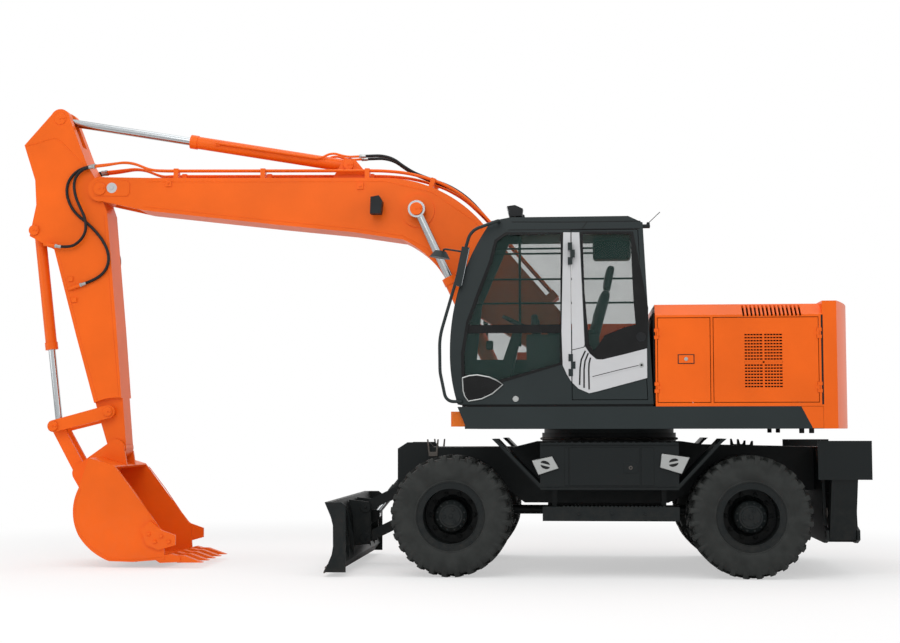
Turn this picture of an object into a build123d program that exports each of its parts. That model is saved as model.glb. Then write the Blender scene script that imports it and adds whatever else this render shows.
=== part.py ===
from build123d import *
import os
from math import hypot, radians, tan

os.makedirs("parts", exist_ok=True)

# A wheeled excavator, in millimetres. X runs to the rear, the machine's left side is -Y
# and the ground is Z 0. The origin is on the ground at the middle of the whole machine.

# Wheels and undercarriage
WHEELBASE = 2550
FRONT_AXLE_X = 321
REAR_AXLE_X = FRONT_AXLE_X + WHEELBASE
TYRE_R = 522
TYRE_WIDTH = 278
BEAD_R = 254
FLANGE_R = 290
TYRE_INNER_Y = 808
TYRE_OUTER_Y = 1126
AXLE_Z = TYRE_R
HUB_R = 145
HUB_END_Y = 1205
HUB_START = 700
KINGPIN_Y = 600
FIT = 0.3
GAP = 8
PIN_R = 42
PIN_HOLE = PIN_R + FIT
HINGE_R = 9
HINGE_PIN = 4.5
LEAF = 30
FRAME_HALF = 340
FRAME_TOP = 1105
FRAME_LOW = 720
BOX_FRONT = FRONT_AXLE_X + 770
BOX_REAR = REAR_AXLE_X - 600
BOX_LOW = 750
BOX_TOP = 1150

# Slewing ring
SLEW_X = FRONT_AXLE_X + 1380
RING_R = 620
RING_TOP = 1235

# Blade
BLADE_HALF = 1250
BLADE_LOW = 40
BLADE_TOP = 640
BLADE_X = FRONT_AXLE_X - 1045
LINK_BASE = (FRONT_AXLE_X - 480, 450)
LINK_END = (FRONT_AXLE_X - 870, 262)
LINK_RISE = 290
BLADE_CYL_BASE = (FRONT_AXLE_X - 365, 1010)
BLADE_CYL_END = (FRONT_AXLE_X - 805, 470)
LINK_PIN_R = 26
PORT_PIPE_R = 11

# Stabilisers
LEG_X = REAR_AXLE_X + 800
LEG_HALF = 110
LEG_PIVOT = (930, 365)
LEG_TOP = (1065, 900)
LEG_CYL_BASE = (500, 900)
LEG_CYL_END = (890, 545)

# Upper structure
SIDE_Y = 1225
SILL_LOW = 1270
DECK_TOP = 1460
BODY_TOP = 2340
CAB_REAR = FRONT_AXLE_X + 1740
DOOR_SEAM = FRONT_AXLE_X + 2243
WEIGHT_FRONT = FRONT_AXLE_X + 3167
WEIGHT_REAR = FRONT_AXLE_X + 3525
SILL_FRONT = FRONT_AXLE_X + 60
CHANNEL_HALF = 372

# Cab
CAB_INNER = -395
CAB_OUTER = -1225
CAB_ROOF = 3110
CAB_FLOOR = 1480
CAB_WALL = 45
CAB_MOUNT_R = 55
DOOR_FRONT = FRONT_AXLE_X + 1045

# Boom, with its points counted from the foot pin
BOOM_FOOT = (FRONT_AXLE_X + 1300, 1750)
BOOM_HALF = 205
BOOM_TIP = (-4750, 1816)
BOOM_CYL_PIN = (-1690, 1565)
ARM_CYL_BASE = (-2365, 2030)
BOOM_CYL_BASE = (FRONT_AXLE_X + 420, 1600)
BOOM_CYL_Y = 300
BOOM_CYL_R = 64
BOOM_CYL_BARREL = 1190

# Arm, with its points counted from the arm pin
ARM_HALF = 160
ARM_CYL_PIN = (-417, 697)
BUCKET_CYL_BASE = (-655, -385)
BUCKET_PIN = (173, -2474)
ROCKER_PIN = (106, -2128)
ROD_EYE = (-426, -2264)
LINK_PIN = (-178, -2707)
ARM_CYL_R = 60
ARM_CYL_BARREL = 1575
BUCKET_CYL_R = 54
BUCKET_CYL_BARREL = 1150


def shifted(a, b):
    return (a[0] + b[0], a[1] + b[1])


def moved(start, points):
    """An outline's points, counted from a start, in the machine's own frame."""
    return [(start[0] + x, start[1] + z, *flag) for x, z, *flag in points]


def distance(a, b):
    return hypot(b[0] - a[0], b[1] - a[1])


UPPER_BASE = shifted(LINK_BASE, (0, LINK_RISE))
UPPER_END = shifted(LINK_END, (0, LINK_RISE))
ARM_PIN = shifted(BOOM_FOOT, BOOM_TIP)
BUCKET_AT = shifted(ARM_PIN, BUCKET_PIN)


# Helpers: everything seen from the side is an outline on a plane across the machine

def outline(points, y_low, y_high, mode=Mode.ADD, radius=0):
    """A plate with a side view outline (X, Z), from y_low to y_high."""
    with BuildSketch(Plane.XZ.offset(-y_high)) as face:
        with BuildLine():
            Polyline(*points, close=True)
        make_face()
        if radius:
            fillet(face.vertices(), radius)
    extrude(face.sketch, amount=y_high - y_low, mode=mode)


def curved(points, y_low, y_high, mode=Mode.ADD):
    """As outline, but a point with a third value is passed by an arc between its neighbours."""
    places = [point[:2] for point in points]
    with BuildSketch(Plane.XZ.offset(-y_high)) as face:
        with BuildLine():
            at = 0
            while at < len(points):
                following = (at + 1) % len(points)
                if len(points[following]) == 3:
                    beyond = (at + 2) % len(points)
                    ThreePointArc(places[at], places[following], places[beyond])
                    at += 2
                else:
                    Line(places[at], places[following])
                    at += 1
        make_face()
    extrude(face.sketch, amount=y_high - y_low, mode=mode)


def plan(points, z_low, z_high, mode=Mode.ADD):
    """A plate with a plan view outline (X, Y), from z_low to z_high."""
    with BuildSketch(Plane.XY.offset(z_low)) as face:
        with BuildLine():
            Polyline(*points, close=True)
        make_face()
    extrude(face.sketch, amount=z_high - z_low, mode=mode)


def front(points, x_low, x_high, mode=Mode.ADD):
    """A plate with an outline seen along the machine (Y, Z), from x_low to x_high."""
    with BuildSketch(Plane.YZ.offset(x_low)) as face:
        with BuildLine():
            Polyline(*points, close=True)
        make_face()
    extrude(face.sketch, amount=x_high - x_low, mode=mode)


def block(x_low, x_high, y_low, y_high, z_low, z_high, mode=Mode.ADD):
    with Locations(((x_low + x_high) / 2, (y_low + y_high) / 2, (z_low + z_high) / 2)):
        Box(x_high - x_low, y_high - y_low, z_high - z_low, mode=mode)


def boss(centre, r, y_low, y_high, mode=Mode.ADD):
    """A round bar across the machine at a place (X, Z)."""
    with BuildSketch(Plane.XZ.offset(-y_high)) as face:
        with Locations(centre):
            Circle(r)
    extrude(face.sketch, amount=y_high - y_low, mode=mode)


def strap(a, r_a, b, r_b, y_low, y_high, mode=Mode.ADD):
    """A plate round two pins, with straight sides that touch both circles."""
    with BuildSketch(Plane.XZ.offset(-y_high)) as face:
        with Locations(a):
            Circle(r_a)
        with Locations(b):
            Circle(r_b)
        make_hull()
    extrude(face.sketch, amount=y_high - y_low, mode=mode)


def tube(a, b, y, r, start, end, mode=Mode.ADD):
    """A round bar in a plane across the machine, along the line from a towards b."""
    span = hypot(b[0] - a[0], b[1] - a[1])
    way = ((b[0] - a[0]) / span, 0, (b[1] - a[1]) / span)
    at = (a[0] + way[0] * start, y, a[1] + way[2] * start)
    with BuildSketch(Plane(origin=at, x_dir=(0, 1, 0), z_dir=way)) as face:
        Circle(r)
    extrude(face.sketch, amount=end - start, mode=mode)


def leg_tube(side, a, b, r, start, end, mode=Mode.ADD):
    """A round bar in the plane of the stabilisers, from a towards b, as (distance out, Z)."""
    span = distance(a, b)
    way = (0, side * (b[0] - a[0]) / span, (b[1] - a[1]) / span)
    at = (LEG_X, side * a[0] + way[1] * start, a[1] + way[2] * start)
    with BuildSketch(Plane(origin=at, x_dir=(1, 0, 0), z_dir=way)) as face:
        Circle(r)
    extrude(face.sketch, amount=end - start, mode=mode)


def leg_boss(side, a, r, half, mode=Mode.ADD):
    with BuildSketch(Plane.YZ.offset(LEG_X - half)) as face:
        with Locations((side * a[0], a[1])):
            Circle(r)
    extrude(face.sketch, amount=2 * half, mode=mode)


def post(x, y, r, z_low, z_high, mode=Mode.ADD):
    """An upright round bar."""
    with BuildSketch(Plane.XY.offset(z_low)) as face:
        with Locations((x, y)):
            Circle(r)
    extrude(face.sketch, amount=z_high - z_low, mode=mode)


def hinge_fixed(x, y, z, half, leaf):
    """The pin of an upright hinge with a lug at each end, on the piece that stands still."""
    knuckle = half / 3
    post(x, y, HINGE_R + 2, z - knuckle - 1, z + knuckle + 1, mode=Mode.SUBTRACT)
    post(x, y, HINGE_PIN, z - half, z + half)
    for low in (z - half, z + knuckle + 1):
        post(x, y, HINGE_R, low, low + half - knuckle - 1)
        block(*leaf, low, low + half - knuckle - 1)


def hinge_moving(x, y, z, half, leaf):
    """The knuckle that turns on that pin, on the door."""
    knuckle = half / 3
    for low in (z - half - 2, z + knuckle):
        post(x, y, HINGE_R + 2, low, low + half - knuckle + 2, mode=Mode.SUBTRACT)
    post(x, y, HINGE_R, z - knuckle, z + knuckle)
    block(*leaf, z - knuckle, z + knuckle)
    post(x, y, HINGE_PIN + FIT, z - knuckle, z + knuckle, mode=Mode.SUBTRACT)


def save(made, name):
    made.part.label = name
    export_step(made.part, f"parts/{name}.step")


# Main frame: box beam over both axles, ring seat, blade bracket and stabiliser beam

BRACKET_FRONT = FRONT_AXLE_X - 570
FRAME_SIDE = [
    (BRACKET_FRONT + 285, FRAME_TOP),
    (BRACKET_FRONT + 285, 650),
    (BRACKET_FRONT + 385, FRAME_LOW),
    (FRONT_AXLE_X + 455, FRAME_LOW),
    (FRONT_AXLE_X + 605, 600),
    (REAR_AXLE_X - 645, 600),
    (REAR_AXLE_X - 395, FRAME_LOW),
    (LEG_X - LEG_HALF, FRAME_LOW),
    (LEG_X - LEG_HALF, FRAME_TOP),
    (REAR_AXLE_X - 295, FRAME_TOP + 20),
    (REAR_AXLE_X - 495, FRAME_TOP + 50),
    (FRONT_AXLE_X + 705, FRAME_TOP + 50),
    (FRONT_AXLE_X + 505, FRAME_TOP),
]
BEAM_FRONT = LEG_X - LEG_HALF - GAP - 25
BEAM_REAR = LEG_X + LEG_HALF + GAP + 25
TOW_EYE = (BEAM_REAR + 30, 730)
TOW_EYE_R = 26
TOW_HALF = 18
LEG_PLATE = [
    (-FRAME_HALF - 60, FRAME_TOP),
    (-LEG_PIVOT[0] + 140, 800),
    (-LEG_PIVOT[0] + 60, 430),
    (-LEG_PIVOT[0] - 60, 400),
    (-LEG_PIVOT[0] - 60, 320),
    (-LEG_PIVOT[0] + 60, 285),
    (LEG_PIVOT[0] - 60, 285),
    (LEG_PIVOT[0] + 60, 320),
    (LEG_PIVOT[0] + 60, 400),
    (LEG_PIVOT[0] - 60, 430),
    (LEG_PIVOT[0] - 140, 800),
    (FRAME_HALF + 60, FRAME_TOP),
]
LINK_IN = 190
LINK_OUT = 235
with BuildPart() as frame:
    outline(FRAME_SIDE, -FRAME_HALF, FRAME_HALF)
    with BuildSketch(Plane.XY.offset(BOX_TOP + 1)):
        with Locations((SLEW_X, 0)):
            Circle(RING_R)
    extrude(amount=RING_TOP - BOX_TOP - 1)
    # blade bracket: two cheeks in front of the beam, with the link pins between them
    for side in (-1, 1):
        y_low, y_high = sorted((side * (LINK_OUT + GAP), side * (LINK_OUT + GAP + 25)))
        outline(
            [
                (BRACKET_FRONT + 90, 1148),
                (BRACKET_FRONT, 1090),
                (BRACKET_FRONT, 320),
                (BRACKET_FRONT + 180, 330),
                (BRACKET_FRONT + 300, 660),
                (BRACKET_FRONT + 340, 740),
                (BRACKET_FRONT + 340, 1100),
                (BRACKET_FRONT + 300, 1148),
            ],
            y_low,
            y_high,
        )
        for at in (LINK_BASE, UPPER_BASE):
            y_low, y_high = sorted((side * LINK_IN, side * (LINK_OUT + GAP + 35)))
            boss(at, LINK_PIN_R, y_low, y_high)
    boss(BLADE_CYL_BASE, LINK_PIN_R, -LINK_OUT - GAP - 5, LINK_OUT + GAP + 5)
    # two end plates carry the stabiliser legs between them
    for x_low in (BEAM_FRONT, BEAM_REAR - 25):
        front(LEG_PLATE, x_low, x_low + 25)
    block(BEAM_FRONT, BEAM_REAR, -FRAME_HALF, FRAME_HALF, 700, FRAME_TOP)
    block(BEAM_FRONT, BEAM_REAR, -LEG_PIVOT[0] + 190, LEG_PIVOT[0] - 190, 285, 310)
    # towing eye behind the rear plate
    outline(
        [
            (BEAM_REAR - 1, 800),
            (TOW_EYE[0] + 20, TOW_EYE[1] + 50),
            (TOW_EYE[0] + 20, TOW_EYE[1] - 50),
            (BEAM_REAR - 1, 660),
        ],
        -TOW_HALF,
        TOW_HALF,
    )
    boss(TOW_EYE, TOW_EYE_R + 25, -TOW_HALF, TOW_HALF)
    boss(TOW_EYE, TOW_EYE_R, -TOW_HALF, TOW_HALF, mode=Mode.SUBTRACT)
    for side in (-1, 1):
        leg_boss(side, LEG_PIVOT, LINK_PIN_R, LEG_HALF + GAP + 30)
        leg_boss(side, LEG_CYL_BASE, LINK_PIN_R, LEG_HALF + GAP + 20)
save(frame, "main_frame")

# Front axle: beam with its differential, and a fork for each kingpin

FORK_Z = 118
with BuildPart() as front_axle:
    boss((FRONT_AXLE_X, AXLE_Z), 92, -470, 470)
    with BuildSketch(Plane.YZ.offset(FRONT_AXLE_X)) as half:
        with BuildLine():
            Polyline((-210, AXLE_Z), (-200, AXLE_Z + 92), (-90, AXLE_Z + 168), (90, AXLE_Z + 168))
            Polyline((90, AXLE_Z + 168), (200, AXLE_Z + 92), (210, AXLE_Z), (-210, AXLE_Z))
        make_face()
    revolve(half.sketch, Axis((FRONT_AXLE_X, 0, AXLE_Z), (0, 1, 0)))
    block(FRONT_AXLE_X - 70, FRONT_AXLE_X + 70, -240, 240, AXLE_Z, FRAME_LOW - FIT)
    for side in (-1, 1):
        y_low, y_high = sorted((side * 440, side * (KINGPIN_Y + 45)))
        for z_low in (AXLE_Z - FORK_Z - 34, AXLE_Z + FORK_Z):
            block(FRONT_AXLE_X - 60, FRONT_AXLE_X + 60, y_low, y_high, z_low, z_low + 34)
        y_low, y_high = sorted((side * 440, side * 490))
        block(
            FRONT_AXLE_X - 60,
            FRONT_AXLE_X + 60,
            y_low,
            y_high,
            AXLE_Z - FORK_Z - 34,
            AXLE_Z + FORK_Z + 34,
        )
    # steering cylinder along the front of the beam
    boss((FRONT_AXLE_X - 150, AXLE_Z + 30), 42, -300, 300)
    block(FRONT_AXLE_X - 150, FRONT_AXLE_X, -60, 60, AXLE_Z + 10, AXLE_Z + 50)
save(front_axle, "front_axle")

# Rear axle with the gearbox in front of it and the driveshaft to the front axle

with BuildPart() as rear_axle:
    boss((REAR_AXLE_X, AXLE_Z), 92, -HUB_START + FIT, HUB_START - FIT)
    with BuildSketch(Plane.YZ.offset(REAR_AXLE_X)) as half:
        with BuildLine():
            Polyline((-210, AXLE_Z), (-200, AXLE_Z + 92), (-90, AXLE_Z + 168), (90, AXLE_Z + 168))
            Polyline((90, AXLE_Z + 168), (200, AXLE_Z + 92), (210, AXLE_Z), (-210, AXLE_Z))
        make_face()
    revolve(half.sketch, Axis((REAR_AXLE_X, 0, AXLE_Z), (0, 1, 0)))
    block(REAR_AXLE_X - 70, REAR_AXLE_X + 70, -240, 240, AXLE_Z, FRAME_LOW - FIT)
    block(REAR_AXLE_X - 420, REAR_AXLE_X - 140, -150, 150, AXLE_Z - 190, AXLE_Z + 110)
    with BuildSketch(Plane.YZ.offset(FRONT_AXLE_X + 170)) as shaft:
        with Locations((0, AXLE_Z)):
            Circle(42)
    extrude(shaft.sketch, amount=REAR_AXLE_X - 420 - FRONT_AXLE_X - 170)
save(rear_axle, "rear_axle")

# Side boxes with their mudguards and steps, one on each side

STEP_LOW = 485
STEP_TOP = 605
GUARD = [
    (
        (FRONT_AXLE_X + 390, 1150),
        (FRONT_AXLE_X + 355, 1184),
        (FRONT_AXLE_X + 395, 1184),
        (BOX_FRONT, 800),
        (BOX_FRONT, 757),
    ),
    (
        (REAR_AXLE_X - 235, 1150),
        (REAR_AXLE_X - 195, 1184),
        (REAR_AXLE_X - 235, 1184),
        (BOX_REAR, 800),
        (BOX_REAR, 757),
    ),
]
with BuildPart() as side_boxes:
    for side in (-1, 1):
        y_low, y_high = sorted((side * FRAME_HALF, side * 1215))
        block(BOX_FRONT, BOX_REAR, y_low, y_high, BOX_LOW, BOX_TOP)
        y_low, y_high = sorted((side * 700, side * 1215))
        for points in GUARD:
            outline(points, y_low, y_high)
        y_low, y_high = sorted((side * 960, side * 1235))
        block(BOX_FRONT + 20, BOX_REAR, y_low, y_high, STEP_LOW, STEP_TOP)
        for x in (BOX_FRONT + 120, BOX_REAR - 120):
            y_low, y_high = sorted((side * 980, side * 1040))
            block(x - 20, x + 20, y_low, y_high, STEP_TOP, BOX_LOW)
save(side_boxes, "side_boxes")


# Knuckles and wheels. A wheel's section is drawn as (distance from the middle, radius)

def ring(x, side, points):
    with BuildSketch(Plane.YZ.offset(x)) as face:
        with BuildLine():
            Polyline(*[(side * t, AXLE_Z + r) for t, r in points], close=True)
        make_face()
    revolve(face.sketch, Axis((x, 0, AXLE_Z), (0, 1, 0)))


LUGS = 22
LUG_HALF = 34
TREAD_R = 496
# one side of the tyre's section: distance from the tyre's middle, radius
TYRE_SECTION = [(107, BEAD_R + FIT), (107, FLANGE_R), (TYRE_WIDTH / 2, 385), (114, TREAD_R)]


def tyre(x, side, middle):
    """A tyre in flats, one for each lug: a sector with its lug, repeated round the axle."""
    half_turn = 180 / LUGS
    wide = TYRE_R * tan(radians(half_turn))
    section = TYRE_SECTION + [(-t, r) for t, r in reversed(TYRE_SECTION)]
    with BuildPart(mode=Mode.PRIVATE) as sector:
        with BuildSketch(Plane.YZ.offset(x - wide)) as face:
            with BuildLine():
                Polyline(*[(side * (middle + t), AXLE_Z + r) for t, r in section], close=True)
            make_face()
        extrude(face.sketch, amount=2 * wide)
        y_low, y_high = sorted((side * (middle - TYRE_WIDTH), side * (middle + TYRE_WIDTH)))
        outline(
            [(x, AXLE_Z), (x - wide, AXLE_Z + TYRE_R), (x + wide, AXLE_Z + TYRE_R)],
            y_low,
            y_high,
            mode=Mode.INTERSECT,
        )
        y_low, y_high = sorted((side * (middle - 112), side * (middle + 112)))
        block(x - LUG_HALF, x + LUG_HALF, y_low, y_high, AXLE_Z + TREAD_R - 10, AXLE_Z + TYRE_R)
    turns = [
        sector.part.rotate(Axis((x, 0, AXLE_Z), (0, 1, 0)), 2 * half_turn * n) for n in range(LUGS)
    ]
    add(turns)


WHEELS = [
    # name, axle, side
    ("front_left", FRONT_AXLE_X, -1),
    ("front_right", FRONT_AXLE_X, 1),
    ("rear_left", REAR_AXLE_X, -1),
    ("rear_right", REAR_AXLE_X, 1),
]
RIM_RINGS = [
    # from, to (distance from the middle), inner and outer radius
    (TYRE_INNER_Y - 108, TYRE_INNER_Y + 108, 238, BEAD_R),
    (TYRE_OUTER_Y - 108, TYRE_OUTER_Y + 108, 238, BEAD_R),
    (TYRE_INNER_Y - 119, TYRE_INNER_Y - 107.3, 238, FLANGE_R),
    (TYRE_INNER_Y + 107.3, TYRE_INNER_Y + 119, 238, FLANGE_R),
    (TYRE_OUTER_Y - 119, TYRE_OUTER_Y - 107.3, 238, FLANGE_R),
    (TYRE_OUTER_Y + 107.3, TYRE_OUTER_Y + 119, 238, FLANGE_R),
    (TYRE_INNER_Y + 119, TYRE_OUTER_Y - 119, 238, 252),
    (955, 979, HUB_R, 238),
]
for name, x, side in WHEELS:
    with BuildPart() as tyres:
        for middle in (TYRE_INNER_Y, TYRE_OUTER_Y):
            tyre(x, side, middle)
    save(tyres, f"tyres_{name}")
    with BuildPart() as rim:
        for t_low, t_high, r_low, r_high in RIM_RINGS:
            ring(x, side, [(t_low, r_low), (t_low, r_high), (t_high, r_high), (t_high, r_low)])
        ring(
            x,
            side,
            [
                (HUB_START, 0),
                (HUB_START, HUB_R + 20),
                (955, HUB_R + 20),
                (980, HUB_R + 30),
                (1000, HUB_R),
                (1170, HUB_R - 10),
                (HUB_END_Y, HUB_R - 45),
                (HUB_END_Y, 0),
            ],
        )
    save(rim, f"rim_{name}")

for name, side in (("left", -1), ("right", 1)):
    with BuildPart() as knuckle:
        y_low, y_high = sorted((side * KINGPIN_Y, side * (HUB_START - FIT)))
        boss((FRONT_AXLE_X, AXLE_Z), FORK_Z - 6, y_low, y_high)
        with BuildSketch(Plane.XY.offset(AXLE_Z - FORK_Z + FIT)) as kingpin:
            with Locations((FRONT_AXLE_X, side * KINGPIN_Y)):
                Circle(92)
        extrude(kingpin.sketch, amount=2 * (FORK_Z - FIT))
        y_low, y_high = sorted((side * 540, side * 580))
        block(FRONT_AXLE_X - 190, FRONT_AXLE_X - 40, y_low, y_high, AXLE_Z - 20, AXLE_Z + 20)
    save(knuckle, f"knuckle_{name}")

# Blade: curved plate, end plates and the lugs for links and cylinder

BLADE_FACE = [
    (BLADE_X - 45, BLADE_TOP),
    (BLADE_X + 10, 500),
    (BLADE_X + 38, 350),
    (BLADE_X + 20, 200),
    (BLADE_X - 45, BLADE_LOW),
    (BLADE_X + 60, BLADE_LOW),
    (BLADE_X + 120, 120),
    (BLADE_X + 70, 220),
    (BLADE_X + 62, 350),
    (BLADE_X + 60, 480),
    (BLADE_X + 5, BLADE_TOP),
]
with BuildPart() as blade:
    outline(BLADE_FACE, -BLADE_HALF, BLADE_HALF)
    for side in (-1, 1):
        y_low, y_high = sorted((side * (BLADE_HALF - 16), side * BLADE_HALF))
        outline(
            [
                (BLADE_X - 45, BLADE_TOP),
                (BLADE_X - 45, BLADE_LOW),
                (BLADE_X + 130, BLADE_LOW),
                (BLADE_X + 140, 420),
                (BLADE_X + 40, BLADE_TOP),
            ],
            y_low,
            y_high,
        )
        y_low, y_high = sorted((side * (LINK_OUT + GAP), side * (LINK_OUT + GAP + 22)))
        outline(
            [
                (BLADE_X + 20, 620),
                (BLADE_X + 20, 190),
                (LINK_END[0] + 40, LINK_END[1] - 50),
                (LINK_END[0] + 55, LINK_END[1]),
                (UPPER_END[0] + 50, UPPER_END[1]),
                (UPPER_END[0] + 30, UPPER_END[1] + 50),
            ],
            y_low,
            y_high,
        )
        for at in (LINK_END, UPPER_END):
            y_low, y_high = sorted((side * LINK_IN, side * (LINK_OUT + GAP + 5)))
            boss(at, LINK_PIN_R, y_low, y_high)
        y_low, y_high = sorted((side * 62, side * 84))
        outline(
            [
                (BLADE_X + 30, 560),
                (BLADE_X + 40, 300),
                (BLADE_CYL_END[0] + 40, BLADE_CYL_END[1] - 40),
                (BLADE_CYL_END[0] + 40, BLADE_CYL_END[1] + 40),
            ],
            y_low,
            y_high,
        )
save(blade, "blade")

LINK_R = 46
for name, a, b in (
    ("blade_link_lower", LINK_BASE, LINK_END),
    ("blade_link_upper", UPPER_BASE, UPPER_END),
):
    with BuildPart() as link:
        for side in (-1, 1):
            y_low, y_high = sorted((side * LINK_IN, side * LINK_OUT))
            strap(a, LINK_R, b, LINK_R, y_low, y_high)
            for at in (a, b):
                boss(at, LINK_PIN_R + FIT, y_low, y_high, mode=Mode.SUBTRACT)
        if name == "blade_link_lower":
            boss(((a[0] + b[0]) / 2, (a[1] + b[1]) / 2), 34, -LINK_IN - 5, LINK_IN + 5)
    save(link, name)


def bend_radii(points):
    """For each corner the largest arc that both of its runs allow."""
    radii = []
    for a, b, c in zip(points, points[1:], points[2:]):
        before = Vector(*b) - Vector(*a)
        after = Vector(*c) - Vector(*b)
        half_turn = radians(before.get_angle(after)) / 2
        radii.append(0.45 * min(before.length, after.length) / tan(half_turn))
    return radii


def bent_tube(points, r, radii=None):
    """A round tube along straight runs joined by arcs."""
    with BuildLine() as path:
        FilletPolyline(*points, radius=radii or bend_radii(points))
    with BuildSketch(Plane(origin=path.line @ 0, z_dir=path.line % 0)) as face:
        Circle(r)
    sweep(face.sketch, path.line)


# A cylinder's barrel has an eye at its base pin and a bore for the rod; the rod has an eye at its end

def barrel(name, base, end, length, r, rod_r, eye_r, ys, eye_half, pin_hole, pipes=()):
    with BuildPart() as made:
        for points in pipes:
            bent_tube(points, PORT_PIPE_R)
            # port block between the pipe and the barrel
            x, y, z = points[0]
            block(x - 10, x + 40, min(y, 0), max(y, 0), z - 25, z + 15)
        for y in ys:
            tube(base, end, y, r, eye_r * 0.6, length - 60)
            tube(base, end, y, r + 7, length - 70, length)
            boss(base, eye_r, y - eye_half, y + eye_half)
        for y in ys:
            tube(base, end, y, rod_r + FIT, eye_r + 20, length + 1, mode=Mode.SUBTRACT)
            boss(base, pin_hole, y - eye_half, y + eye_half, mode=Mode.SUBTRACT)
    save(made, name)


def rod(name, base, end, inside, rod_r, eye_r, ys, eye_half):
    span = distance(base, end)
    with BuildPart() as made:
        for y in ys:
            tube(base, end, y, rod_r, inside, span - eye_r * 0.6)
            boss(end, eye_r, y - eye_half, y + eye_half)
    save(made, name)


BLADE_RAM = (BLADE_CYL_BASE, BLADE_CYL_END)
barrel("blade_cylinder_barrel", *BLADE_RAM, 450, 52, 25, 48, [0], 50, LINK_PIN_R + FIT)
rod("blade_cylinder_rod", *BLADE_RAM, 300, 25, 42, [0], 50)

# Stabiliser legs, stowed upright, each with a foot plate at its end


LEG_OUTLINE = [
    (LEG_PIVOT[0] - 60, LEG_PIVOT[1]),
    (LEG_PIVOT[0] - 40, LEG_PIVOT[1] - 45),
    (LEG_PIVOT[0] + 30, LEG_PIVOT[1] - 50),
    (LEG_TOP[0] + 62, LEG_TOP[1] - 40),
    (LEG_TOP[0] + 62, LEG_TOP[1] + 60),
    (LEG_TOP[0] - 40, LEG_TOP[1] + 60),
]
PAD_Y = 1130
for name, side in (("left", -1), ("right", 1)):
    with BuildPart() as leg:
        front([(side * y, z) for y, z in LEG_OUTLINE], LEG_X - LEG_HALF, LEG_X + LEG_HALF)
        # a channel in the leg's inner side takes the cylinder between its two walls
        front(
            [
                (side * (LEG_CYL_END[0] - 90), LEG_PIVOT[1] + 60),
                (side * (LEG_CYL_END[0] + 55), LEG_PIVOT[1] + 90),
                (side * (LEG_CYL_END[0] + 120), LEG_TOP[1] - 120),
                (side * (LEG_CYL_END[0] - 90), LEG_TOP[1] - 60),
            ],
            LEG_X - 60,
            LEG_X + 60,
            mode=Mode.SUBTRACT,
        )
        for x_low in (LEG_X - 82, LEG_X + 62):
            front(
                [
                    (side * (LEG_CYL_END[0] + 60), LEG_CYL_END[1] + 150),
                    (side * (LEG_CYL_END[0] - 35), LEG_CYL_END[1] + 30),
                    (side * (LEG_CYL_END[0] - 35), LEG_CYL_END[1] - 30),
                    (side * (LEG_CYL_END[0] + 40), LEG_CYL_END[1] - 120),
                ],
                x_low,
                x_low + 20,
            )
        y_low, y_high = sorted((side * PAD_Y, side * (PAD_Y + 20)))
        block(LEG_X - 225, LEG_X + 225, y_low, y_high, 836, 1166)
        y_low, y_high = sorted((side * (LEG_TOP[0] - 20), side * (PAD_Y + 1)))
        block(LEG_X - 60, LEG_X + 60, y_low, y_high, LEG_TOP[1] - 40, LEG_TOP[1] + 60)
        leg_boss(side, LEG_PIVOT, LINK_PIN_R + FIT, LEG_HALF, mode=Mode.SUBTRACT)
    save(leg, f"stabiliser_{name}")
    with BuildPart() as leg_barrel:
        leg_tube(side, LEG_CYL_BASE, LEG_CYL_END, 48, 30, 400)
        leg_boss(side, LEG_CYL_BASE, 46, 46)
        leg_tube(side, LEG_CYL_BASE, LEG_CYL_END, 24 + FIT, 60, 401, mode=Mode.SUBTRACT)
        leg_boss(side, LEG_CYL_BASE, LINK_PIN_R + FIT, 46, mode=Mode.SUBTRACT)
    save(leg_barrel, f"stabiliser_barrel_{name}")
    with BuildPart() as leg_rod:
        leg_tube(side, LEG_CYL_BASE, LEG_CYL_END, 24, 75, distance(LEG_CYL_BASE, LEG_CYL_END) - 20)
        leg_boss(side, LEG_CYL_END, 38, 46)
    save(leg_rod, f"stabiliser_rod_{name}")

# Revolving frame: deck with an open channel for the boom, brackets and side sills

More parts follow.
